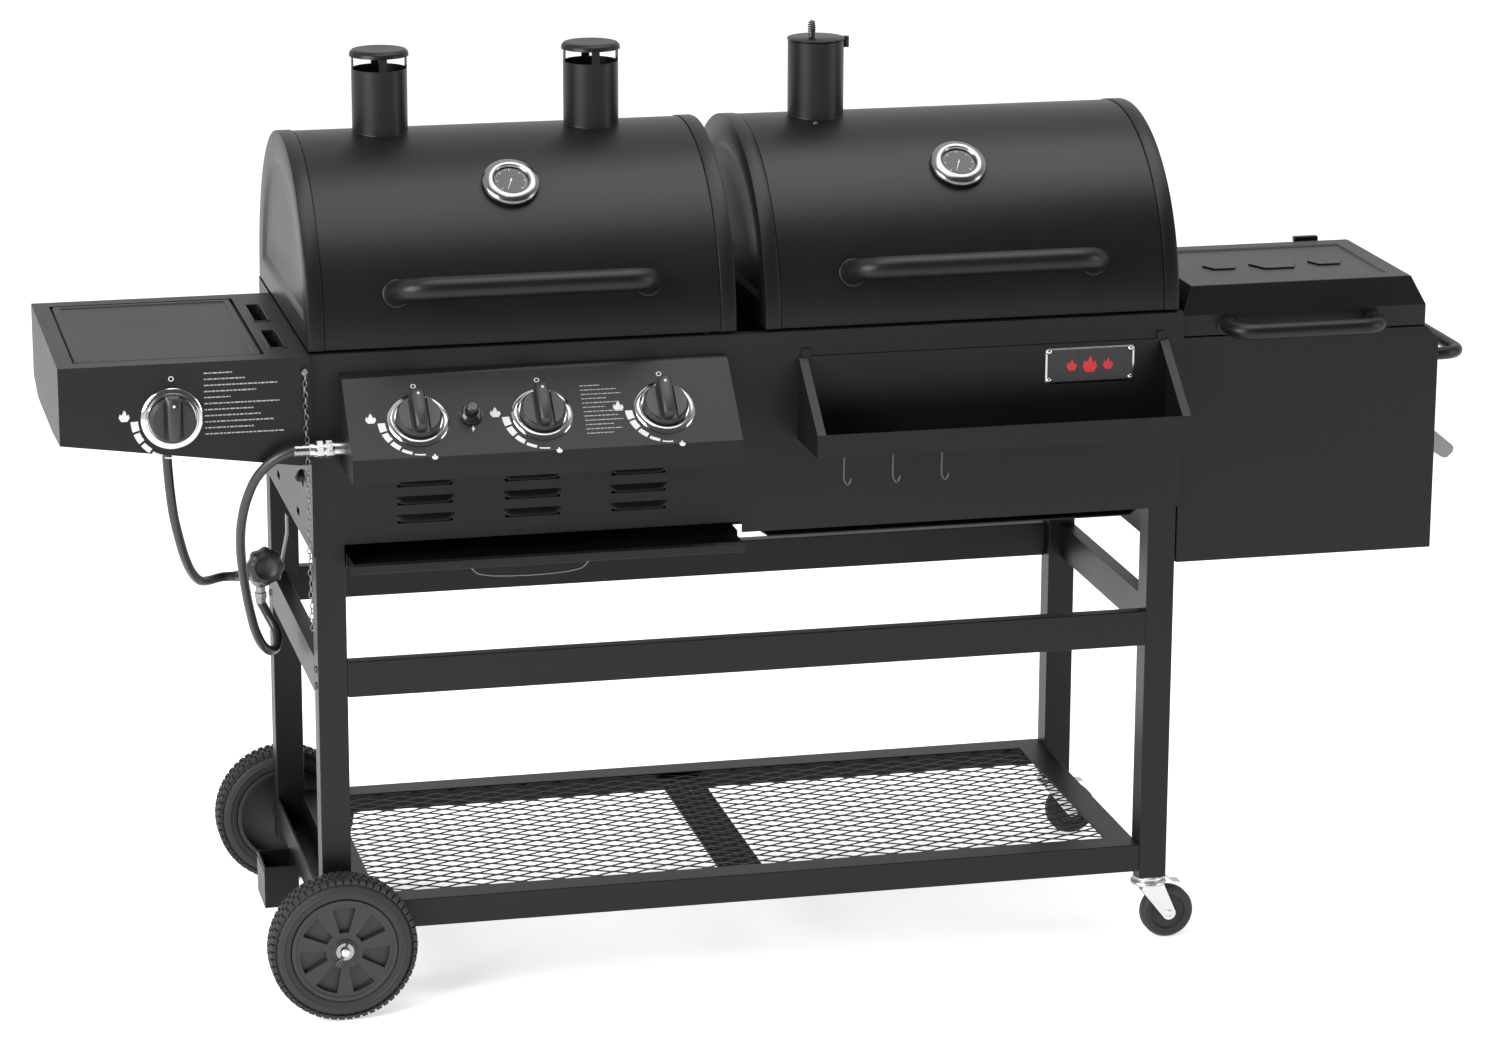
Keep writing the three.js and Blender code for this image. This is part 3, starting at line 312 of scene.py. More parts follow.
class Shape:
    """A mesh under construction, in the model's own frame."""

    def __init__(self):
        self.mesh = bmesh.new()

    def loops(self, rings, closed=True, caps=(False, False)):
        """Skins rings of points, each with the same count, or with one point."""
        made = [[self.mesh.verts.new(point) for point in ring] for ring in rings]
        for near, far in zip(made, made[1:]):
            count = max(len(near), len(far))
            for i in range(count if closed else count - 1):
                j = (i + 1) % count
                if len(near) == 1:
                    self.mesh.faces.new((near[0], far[j], far[i]))
                elif len(far) == 1:
                    self.mesh.faces.new((near[i], near[j], far[0]))
                else:
                    self.mesh.faces.new((near[i], near[j], far[j], far[i]))
        if caps[0] and len(made[0]) > 2:
            self.mesh.faces.new(list(reversed(made[0])))
        if caps[1] and len(made[-1]) > 2:
            self.mesh.faces.new(made[-1])
        return self

    def lathe(self, place, direction, profile, sides=32, closed=False):
        """Turns a profile of (radius, height) pairs about an axis."""
        side, over, along = turned(direction)
        rings = []
        for radius, height in profile:
            points = circle(radius, sides if radius else 1)
            rings.append([place + along * height + side * u + over * v for u, v in points])
        return self.loops([*rings, rings[0]] if closed else rings)

    def tube(self, points, radius, sides=12, caps=True):
        """A round tube along points, without twist."""
        points = [Vector(point) for point in points]
        last = len(points) - 1
        side = turned(points[1] - points[0])[0]
        rings = []
        for i, point in enumerate(points):
            tangent = (points[min(i + 1, last)] - points[max(i - 1, 0)]).normalized()
            side = (side - tangent * side.dot(tangent)).normalized()
            over = tangent.cross(side)
            rings.append([point + side * u + over * v for u, v in circle(radius, sides)])
        return self.loops(rings, caps=(caps, caps))

    def prism(self, outline, place, across, up, depth):
        """Extrudes an outline of (across, up) pairs by depth along the normal of its plane."""
        normal = across.cross(up).normalized()
        near = [place + across * u + up * v for u, v in outline]
        far = [point + normal * depth for point in near]
        return self.loops([near, far], caps=(True, True))

    def block(self, low, high):
        return self.prism(oblong(low.x, low.y, high.x, high.y), Z * low.z, X, Y, high.z - low.z)

    def as_object(self, name, finish, crease=35):
        """Turns the shape into an object, sharp where faces meet at more than crease degrees."""
        bmesh.ops.remove_doubles(self.mesh, verts=self.mesh.verts, dist=1e-6)
        bmesh.ops.recalc_face_normals(self.mesh, faces=self.mesh.faces)
        data = bpy.data.meshes.new(name)
        self.mesh.to_mesh(data)
        self.mesh.free()
        data.materials.append(FINISHES[finish])
        data.polygons.foreach_set("use_smooth", [True] * len(data.polygons))
        data.set_sharp_from_angle(angle=math.radians(crease))
        return add_object(name, data)

    def piece(self, name, finish, body, replaces=(), bevel=0.0, crease=35, segments=2):
        """Turns the shape into an object that rides on a body."""
        made = self.as_object(name, finish, crease)
        if bevel:
            edge = made.modifiers.new("rounded edges", "BEVEL")
            edge.width, edge.segments = bevel, segments
            edge.limit_method, edge.angle_limit = "ANGLE", math.radians(crease)
            edge.harden_normals = True
        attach(made, body)
        if replaces:
            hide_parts(*replaces)
        return made


def passing(first, second, start, end, now):
    """Where a point is now, which passes one point at start and another at end."""
    return first * ((end - now) / (end - start)) + second * ((now - start) / (end - start))


def curved(points, steps=8):
    """A centripetal curve through points."""
    points = [Vector(point) for point in points]
    ends = [points[0] * 2 - points[1], *points, points[-1] * 2 - points[-2]]
    line = []
    for a, b, c, d in zip(ends, ends[1:], ends[2:], ends[3:]):
        t1 = math.sqrt((b - a).length)
        t2 = t1 + math.sqrt((c - b).length)
        t3 = t2 + math.sqrt((d - c).length)
        for k in range(steps):
            now = t1 + (t2 - t1) * k / steps
            middle = passing(b, c, t1, t2, now)
            early = passing(passing(a, b, 0, t1, now), middle, 0, t2, now)
            late = passing(middle, passing(c, d, t2, t3, now), t1, t3, now)
            line.append(passing(early, late, t1, t2, now))
    return [*line, points[-1]]


def filleted(points, radius, steps=8):
    """A line through points with its corners rounded."""
    points = [Vector(point) for point in points]
    line = [points[0]]
    for before, corner, after in zip(points, points[1:], points[2:]):
        into = corner + (before - corner).normalized() * radius
        out = corner + (after - corner).normalized() * radius
        for k in range(steps + 1):
            share = k / steps
            line.append(into * (1 - share) ** 2 + corner * (2 * share * (1 - share)) + out * share**2)
    return [*line, points[-1]]


def screw_profile(radius):
    """A pan head, from its edge to its middle."""
    return [
        (radius, -0.0004),
        (radius, radius * 0.18),
        (radius * 0.86, radius * 0.42),
        (radius * 0.5, radius * 0.56),
        (radius * 0.3, radius * 0.58),
        (radius * 0.22, radius * 0.3),
        (0, radius * 0.28),
    ]


def screws(name, finish, body, places, radius=0.005):
    """Pan-head screws, each a point and the direction that it faces."""
    shape = Shape()
    for place, direction in places:
        shape.lathe(place, direction, screw_profile(radius), 16)
    return shape.piece(name, finish, body, crease=50)


# ---------------------------------------------------------------- settings


class GrillSizes(bpy.types.PropertyGroup):
    """Sizes and colours that a user would change."""

    coat_colour: FloatVectorProperty(
        name="Coat colour", description="Colour of the powder coat", subtype="COLOR",
        default=(0.0045, 0.0045, 0.0047), min=0, max=1,
    )
    coat_roughness: FloatProperty(
        name="Coat roughness", description="How matte the powder coat is", default=0.4, min=0, max=1,
    )
    edge_rounding: FloatProperty(
        name="Edge rounding", description="Rounding of folded sheet and tube edges", unit="LENGTH",
        default=0.0012, min=0,
    )
    mesh_strand: FloatProperty(
        name="Mesh strand", description="Width of the shelf mesh's strands", unit="LENGTH",
        default=0.0024, min=0.001,
    )
    mesh_pitch: FloatVectorProperty(
        name="Mesh pitch", description="Length and width of the shelf mesh's diamonds", size=2,
        unit="LENGTH", default=(0.052, 0.0235), min=0.005,
    )
    tread_lugs: IntProperty(
        name="Tread lugs", description="Lugs round each row of the wheel's tread", default=58, min=8,
    )


class StageSizes(bpy.types.PropertyGroup):
    """Light, floor and camera."""

    focal_length: FloatProperty(
        name="Focal length", description="Focal length on a 36 mm wide sensor, in millimetres",
        default=111.806, min=10,
    )
    camera_place: FloatVectorProperty(
        name="Camera place", description="Camera from the cart's left front corner",
        subtype="TRANSLATION", unit="LENGTH", default=(-0.814501, -5.964869, 2.318317),
    )
    camera_angle: FloatVectorProperty(
        name="Camera angle", description="Pitch, roll and yaw", subtype="EULER", unit="ROTATION",
        default=(math.radians(74.7784), math.radians(-0.2011), math.radians(-13.2504)),
    )
    floor_colour: FloatVectorProperty(
        name="Floor colour", description="Colour of the studio floor", subtype="COLOR",
        default=(0.86, 0.86, 0.86), min=0, max=1,
    )
    room_light: FloatProperty(
        name="Room light", description="Brightness of the even light from all round", default=0.82, min=0,
    )
    key_power: FloatProperty(
        name="Key light", description="Power of the large light at the left", unit="POWER",
        default=240, min=0,
    )


def soft_light(name, place, target, size, power):
    data = bpy.data.lights.new(name, "AREA")
    data.shape, data.size, data.size_y = "RECTANGLE", *size
    data.energy = power
    light = add_object(name, data)
    light.location = place
    light.rotation_euler = (Vector(target) - Vector(place)).to_track_quat("-Z", "Y").to_euler()


class GRILL_OT_stage(bpy.types.Operator):
    """Adds the camera, the pale floor and the soft studio light"""

    bl_idname = "grill.stage"
    bl_label = "Stage"
    aim = (0, 0, 0.7)
    # Each light's name, place, size and share of the key light's power.
    lights = (
        ("key light", (-3.6, -2.2, 2.3), (2.6, 2.6), 1.0),
        ("top light", (0.4, -0.6, 4.2), (4.0, 2.4), 0.45),
        ("right light", (4.4, -2.4, 1.7), (1.6, 2.4), 0.22),
    )
    floor_half = 40
    floor_low, floor_top = -0.02, -0.0005

    def execute(self, context):
        sizes = context.scene.grill_stage
        self.camera(context.scene, sizes)
        self.room(context.scene, sizes.room_light)
        for name, place, size, share in self.lights:
            soft_light(name, place, self.aim, size, sizes.key_power * share)
        self.floor(tuple(sizes.floor_colour))
        context.scene.view_settings.view_transform = "Standard"
        return {"FINISHED"}

    def camera(self, scene, sizes):
        camera = add_object("camera", bpy.data.cameras.new("camera"))
        camera.data.sensor_width = 36
        camera.data.lens = sizes.focal_length
        camera.data.clip_end = 200
        camera.location = CORNER + Vector(sizes.camera_place)
        camera.rotation_euler = sizes.camera_angle
        scene.camera = camera

    def floor(self, colour):
        finish = Finish("Studio floor", Emission_Color=(1, 1, 1, 1), Emission_Strength=0.55)
        cloud = finish.noise(0.6, 2)
        tone = finish.mix(cloud, shade(colour, 0.985), colour)
        FINISHES["floor"] = finish.surface(Base_Color=tone, Roughness=0.75 + cloud.swing(0.05))
        reach = Vector((self.floor_half, self.floor_half, 0))
        floor = Shape()
        floor.block(Z * self.floor_low - reach, Z * self.floor_top + reach)
        floor.as_object("floor", "floor")

    def room(self, scene, strength):
        """Even light that is full from behind and dim from in front, with a soft change between."""
        world = bpy.data.worlds.new("studio")
        world.use_nodes = True
        scene.world = world
        tree = world.node_tree
        background = next(n for n in tree.nodes if n.type == "BACKGROUND")
        direction = tree.nodes.new("ShaderNodeTexCoord")
        split = tree.nodes.new("ShaderNodeSeparateXYZ")
        ramp = tree.nodes.new("ShaderNodeMapRange")
        ramp.interpolation_type = "SMOOTHSTEP"
        for socket, value in (("From Min", -0.75), ("From Max", 0.35), ("To Min", 0.12), ("To Max", 1.0)):
            ramp.inputs[socket].default_value = value
        tree.links.new(direction.outputs["Generated"], split.inputs[0])
        tree.links.new(split.outputs["Y"], ramp.inputs["Value"])
        tree.links.new(ramp.outputs["Result"], background.inputs["Color"])
        background.inputs["Strength"].default_value = strength


# ---------------------------------------------------------------- hoses

HOSE_DIAMETER = 0.013
# Points in millimetres from the cart's left front corner.
GAS_HOSE_ROUTE = [
    (-10.3, -34, 797), (-32, -34, 796), (-56, -30, 785), (-77, -20, 762), (-90, -4, 728),
    (-96, 16, 688), (-95, 40, 648), (-90, 64, 608), (-83, 88, 570), (-75, 112, 534),
    (-66, 136, 502), (-54, 160, 475), (-40, 186, 458), (-28, 213, 456), (-25, 237, 470),
    (-34, 252, 490), (-43, 256, 508.5),
]
SIDE_HOSE_ROUTE = [
    (-187, 70, 819), (-187, 70, 795), (-186, 72, 760), (-183, 78, 722), (-178, 88, 684),
    (-170, 104, 648), (-160, 128, 613), (-148, 158, 584), (-134, 192, 563), (-118, 228, 552),
    (-95, 256, 548), (-78, 256, 548),
]


class GRILL_OT_hoses(bpy.types.Operator):
    """Adds the two gas hoses"""

    bl_idname = "grill.hoses"
    bl_label = "Gas hoses"

    def execute(self, context):
        for name, route in (("gas_hose", GAS_HOSE_ROUTE), ("side_burner_hose", SIDE_HOSE_ROUTE)):
            line = curved([at(*point) for point in route])
            data = bpy.data.curves.new(name + "_line", "CURVE")
            data.dimensions = "3D"
            data.bevel_depth = HOSE_DIAMETER / 2
            data.bevel_resolution = 5
            data.use_fill_caps = True
            spline = data.splines.new("POLY")
            spline.points.add(len(line) - 1)
            spline.points.foreach_set("co", [part for point in line for part in (*point, 1)])
            spline.use_smooth = True
            data.materials.append(FINISHES["hose"])
            hose = add_object(name + "_rubber", data)
            length = sum((b - a).length for a, b in zip(line, line[1:]))
            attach(hose, "cart")
            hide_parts(name)
        return {"FINISHED"}


# ---------------------------------------------------------------- carried-over sheet and castings

CARRIED = {
    "coat": [
        "front_left_leg", "front_right_leg", "rear_left_leg", "rear_right_leg", "front_lower_rail",
        "rear_upper_rail", "left_side_rail", "right_side_rail", "shelf_frame", "tank_bracket",
        "cabinet_front", "cabinet_back", "cabinet_left_side", "cabinet_right_side", "cabinet_floor",
        "control_panel", "side_shelf", "front_tray", "grease_tray", "firebox_body",
    ],
    "iron": ["gas_grate", "charcoal_grate", "side_burner"],
    "steel": ["wheel_axle", "burner_manifold"],
    "plastic": ["front_rim", "rear_rim"],
}
THIN_SHEETS = ("cabinet_front", "front_tray")


class GRILL_OT_sheet_metal(bpy.types.Operator):
    """Gives the carried-over frame, sheets and castings their finish and rounded edges"""

    bl_idname = "grill.sheet_metal"
    bl_label = "Frame and sheets"

    def execute(self, context):
        rounding = context.scene.grill_sizes.edge_rounding
        for finish, names in CARRIED.items():
            for name in names:
                self.dress(NODES[name], finish, rounding)
        return {"FINISHED"}

    def dress(self, part, finish, rounding):
        for slot in part.material_slots:
            slot.link = "OBJECT"
            slot.material = FINISHES[finish]
        weld = part.modifiers.new("joined corners", "WELD")
        weld.merge_threshold = 1e-5
        edge = part.modifiers.new("rounded edges", "BEVEL")
        edge.width = rounding * 0.7 if part.name in THIN_SHEETS else rounding
        edge.segments = 2
        edge.limit_method = "ANGLE"
        edge.angle_limit = math.radians(34)
        part.data.polygons.foreach_set("use_smooth", [True] * len(part.data.polygons))
        even = part.modifiers.new("even shading", "WEIGHTED_NORMAL")
        even.weight = 100
        even.keep_sharp = True


# ---------------------------------------------------------------- barrel lids


class Barrel:
    """A half-round lid: its axis, radius and ends."""

    def __init__(self, node):
        box = BOX[node]
        self.left, self.right = box.low.x, box.high.x
        self.middle = box.mid.x
        self.radius = box.size.y / 2
        self.y, self.z = box.mid.y, box.low.z
        self.body = BODY_OF[node]

    def on(self, x, angle, out=0.0):
        """A point on the skin, degrees up from the front edge, and a distance out of it."""
        turn = math.radians(angle)
        reach = self.radius + out
        return Vector((x, self.y - reach * math.cos(turn), self.z + reach * math.sin(turn)))

    def outward(self, angle):
        turn = math.radians(angle)
        return Vector((0, -math.cos(turn), math.sin(turn)))


GAS, CHARCOAL = Barrel("gas_lid"), Barrel("charcoal_lid")


class GRILL_OT_barrel_lids(bpy.types.Operator):
    """Builds the two barrel lids with their end bands and pressed end plates"""

    bl_idname = "grill.barrel_lids"
    bl_label = "Barrel lids"
    steps = 96
    skin = 0.002
    band = 0.021
    seam = 0.0014
    proud = 0.0014
    edge = 0.0022

    def execute(self, context):
        self.lid(GAS, "gas_barrel_skin", "gas_lid")
        self.lid(CHARCOAL, "charcoal_barrel_skin", "charcoal_lid")
        return {"FINISHED"}

    def arch(self, barrel, x, out, lift=0.0):
        """Points round a D at x, out of the skin, from the front edge over the top to the back."""
        radius = barrel.radius + out
        start = math.degrees(math.asin(lift / radius))
        sweep = arc((barrel.y, barrel.z), radius, 180 - start, start, self.steps)
        return [Vector((x, u, v)) for u, v in sweep]

    def lid(self, barrel, name, node):
        shape = Shape()
        inset = self.band + self.seam
        section = oblong(barrel.left + inset, 0, barrel.right - inset, -self.skin)
        rings = [self.arch(barrel, x, out) for x, out in section]
        shape.loops([*rings, rings[0]], closed=False)
        for end, inward in ((barrel.left, 1), (barrel.right, -1)):
            self.end_cap(shape, barrel, end, inward)
        shape.piece(name, "barrel", barrel.body, (node,), crease=40)

    def end_cap(self, shape, barrel, end, inward):
        """The rolled band over the skin's edge and the plate with its pressed D."""
        under, proud, edge = -0.0026, self.proud, self.edge
        band = [
            (self.band + self.seam + 0.002, under), (self.band, under), (self.band, proud * 0.6),
            (self.band - 0.001, proud), (edge, proud), (edge * 0.3, proud - 0.0006), (0, proud - edge),
        ]
        shape.loops([self.arch(barrel, end + inward * x, out) for x, out in band], closed=False)
        press = [
            (0.0, proud - edge, 0.0), (0.0, -0.036, 0.030), (0.0006, -0.038, 0.032),
            (0.0038, -0.045, 0.039), (0.0045, -0.048, 0.042), (0.0045, -0.09, 0.085),
        ]
        plate = [self.arch(barrel, end + inward * x, out, lift) for x, out, lift in press]
        shape.loops(plate, caps=(False, True))


class GRILL_OT_lid_handles(bpy.types.Operator):
    """Builds the bent tube handles of the barrel lids"""

    bl_idname = "grill.lid_handles"
    bl_label = "Lid handles"
    angle = 16.5
    tube_radius = 0.016
    standoff = 0.060
    bend = 0.046

    def execute(self, context):
        self.handle(GAS, "gas_lid_handle")
        self.handle(CHARCOAL, "charcoal_lid_handle")
        return {"FINISHED"}

    def handle(self, barrel, node):
        half = BOX[node].size.x / 2 - 0.019
        left, right = barrel.middle - half, barrel.middle + half
        route = [
            barrel.on(x, self.angle, out)
            for x, out in ((left, 0.001), (left, self.standoff), (right, self.standoff), (right, 0.001))
        ]
        shape = Shape()
        shape.tube(filleted(route, self.bend, 14), self.tube_radius, 28)
        flange = [(0, 0), (0.019, 0), (0.019, 0.0026), (0.0178, 0.0034), (self.tube_radius, 0.0036)]
        for x in (left, right):
            shape.lathe(barrel.on(x, self.angle, 0.0006), barrel.outward(self.angle), flange, 32)
        shape.piece(node + "_tube", "barrel", barrel.body, (node,), crease=45)


class GRILL_OT_chimneys(bpy.types.Operator):
    """Builds the capped chimneys and the smoke stack with its damper"""

    bl_idname = "grill.chimneys"
    bl_label = "Chimneys and stack"
    wall = 0.0016
    lip = 0.0006

    def execute(self, context):
        for node in ("left_chimney", "right_chimney"):
            self.chimney(node)
        self.stack()
        self.damper()
        return {"FINISHED"}

    def pipe(self, shape, barrel, x, radius, top, sides=64):
        """A pipe whose foot follows the barrel, with a weld bead round the foot."""

        def foot(grown, drop):
            points = []
            for (u, v), (across, along) in zip(circle(radius, sides), circle(radius * grown, sides)):
                height = barrel.z + math.sqrt(barrel.radius**2 - v**2) - drop
                points.append(Vector((x + across, barrel.y + along, height)))
            return points

        rings = [foot(1, 0.001)]
        for reach, height in (
            (radius, top - self.lip), (radius - self.wall / 2, top),
            (radius - self.wall, top - self.lip), (radius - self.wall, top - 0.06),
        ):
            rings.append([Vector((x + u, barrel.y + v, height)) for u, v in circle(reach, sides)])
        shape.loops(rings)
        shape.loops([foot(1, -0.0008), foot(1.035, 0.0032)])

    def chimney(self, node):
        """A pipe whose cap stands over it on four straps."""
        box, barrel = BOX[node], GAS
        x, cap = box.mid.x, box.high.z
        radius = box.size.x / 2 - 0.002
        top = cap - 0.026
        shape = Shape()
        self.pipe(shape, barrel, x, radius, top)
        strap = oblong(-0.0055, 0, 0.0055, 0.028)
        for u, v in circle(1, 4):
            out = Vector((u, v, 0))
            place = Vector((x, barrel.y, top - 0.008)) + out * (radius - 0.0022)
            shape.prism(strap, place, Z.cross(out), Z, self.wall)
        reach = box.size.x / 2
        shape.lathe(Vector((x, barrel.y, cap)), Z, [
            (0, -0.003), (reach - 0.008, 0), (reach - 0.003, -0.0008), (reach, -0.004),
            (reach + 0.0006, -0.009), (reach - 0.0006, -0.009), (reach - 0.0024, -0.005), (0, -0.005),
        ], 64)
        shape.piece(node + "_pipe", "barrel", barrel.body, (node,), crease=38)

    def stack(self):
        barrel, box = CHARCOAL, BOX["smoke_stack"]
        radius = box.size.y / 2
        x = box.low.x + radius
        shape = Shape()
        self.pipe(shape, barrel, x, radius, box.high.z)
        pivot = Vector((x + radius + 0.004, barrel.y, box.high.z - 0.012))
        shape.lathe(pivot, Z, disc(0.0045, 0, 0.012), 20)
        shape.piece("smoke_stack_pipe", "barrel", barrel.body, ("smoke_stack",), crease=38)
        screw = (barrel.on(x - 0.012, 90 - 11.5), barrel.outward(80))
        screws("stack_screws", "dark_wire", barrel.body, [screw], 0.004)

    def damper(self):
        """The disc on the stack with its pivot's ear and its wire spring grip."""
        box, body = BOX["stack_damper"], BODY_OF["stack_damper"]
        radius, thick = box.size.y / 2, 0.0028
        middle = Vector((box.low.x + radius, box.mid.y, box.low.z))
        shape = Shape()
        shape.lathe(middle, Z, [
            (0, 0), (radius - 0.001, 0), (radius, 0.001), (radius, 0.002), (radius - 0.001, thick),
            (0, thick),
        ], 64)
        shape.lathe(middle + X * (radius + 0.003), Z, disc(0.0045, 0, thick), 20)
        shape.piece("stack_damper_disc", "barrel", body, ("stack_damper",), crease=40)
        grip = middle + Vector((-0.006, 0, 0.003))
        spring = Shape()
        rise, steps = 0.021, 98
        coil = []
        for step in range(steps + 1):
            turn = math.tau * step / 14
            reach = 0.0035 + 0.0012 * math.sin(math.pi * step / steps)
            height = rise * step / steps + 0.001
            coil.append(grip + Vector((reach * math.cos(turn), reach * math.sin(turn), height)))
        spring.tube(coil, 0.0012, 6)
        spring.lathe(grip, Z, [(0, 0), (0.0022, 0), (0.0022, 0.0225), (0.0014, 0.0238), (0, 0.0242)], 12)
        spring.piece("stack_damper_spring", "dark_wire", body, crease=50)


class GRILL_OT_thermometers(bpy.types.Operator):
    """Builds the lid thermometers with bezel, dial and pointer"""

    bl_idname = "grill.thermometers"
    bl_label = "Thermometers"
    angle = 52

    def execute(self, context):
        for barrel, node in ((GAS, "gas_thermometer"), (CHARCOAL, "charcoal_thermometer")):
            self.gauge(barrel, node, BOX[node])
        return {"FINISHED"}

    def gauge(self, barrel, node, box):
        out = barrel.outward(self.angle)
        place = barrel.on(barrel.middle, self.angle)
        up = out.cross(X)
        radius = box.size.x / 2
        bezel = Shape()
        bezel.lathe(place, out, [
            (0.004, -0.05), (0.004, 0.0005), (radius - 0.004, 0.0005), (radius, 0.0025), (radius, 0.0065),
            (radius - 0.0015, 0.0085), (radius - 0.008, 0.0118), (radius - 0.0125, 0.0122),
            (radius - 0.0145, 0.0112), (radius - 0.0155, 0.0085), (radius - 0.0155, 0.006), (0, 0.006),
        ], 64)
        bezel.piece(node + "_bezel", "satin", barrel.body, (node,), crease=50)
        face, top = radius - 0.0156, 0.0072
        dial = Shape()
        dial.lathe(place, out, [(face, 0.0062), (face, top), (0, top)], 48)
        dial.piece(node + "_dial", "gloss", barrel.body, crease=30)
        marks = Shape()
        for i in range(31):
            turn = math.radians(225 - 9 * i)
            ray = X * math.cos(turn) + up * math.sin(turn)
            length, width = (0.0062, 0.00045) if i % 5 == 0 else (0.004, 0.00025)
            tick = oblong(face - length, -width, face - 0.0022, width)
            marks.prism(tick, place + out * top, ray, out.cross(ray), 0.0002)
        hand = math.radians(248)
        ray = X * math.cos(hand) + up * math.sin(hand)
        pointer = [(-0.004, -0.0008), (face - 0.006, -0.0002), (face - 0.006, 0.0002), (-0.004, 0.0008)]
        marks.prism(pointer, place + out * (top + 0.0006), ray, out.cross(ray), 0.0004)
        marks.lathe(place + out * top, out, [(0.0014, 0), (0.0014, 0.0012), (0, 0.0014)], 16)
        marks.piece(node + "_marks", "ink", barrel.body)


# ---------------------------------------------------------------- knobs and printing


LIFT = 0.0002
# The control panel rises 88 over a depth of 92.
PANEL_SLOPE = math.atan2(88, 92)


class Panel:
    """A flat printed face: a place on it, its up and outward axes, and the one to the right."""

    def __init__(self, place, up, out):
        self.place, self.up, self.out = place, up.normalized(), out.normalized()
        self.side = self.up.cross(self.out)

    def point(self, u, v, lift=0.0):
        return self.place + self.side * u + self.up * v + self.out * lift

    def ring(self, outline, lift):
        return [self.point(u, v, lift) for u, v in outline]

    def extrude(self, shape, outline, lift, depth):
        shape.prism(outline, self.point(0, 0, lift), self.side, self.up, depth)

    def ink(self, shape, outline):
        """Lays a thin print on the face."""
        self.extrude(shape, outline, LIFT, LIFT)


def knob_seats():
    """Each knob's node, and its face with the place of its shaft."""
    up = Vector((0, math.cos(PANEL_SLOPE), math.sin(PANEL_SLOPE)))
    out = up.cross(-X)
    seats = {}
    edge = at(0, -20, 887)
    for node in ("left_knob", "centre_knob", "right_knob"):
        place = Vector((BOX[node].mid.x, edge.y, edge.z)) - up * 0.070
        seats[node] = Panel(place, up, out)
    side = BOX["side_knob"]
    seats["side_knob"] = Panel(Vector((side.mid.x, BOX["side_shelf"].low.y, side.mid.z)), Z, -Y)
    return seats


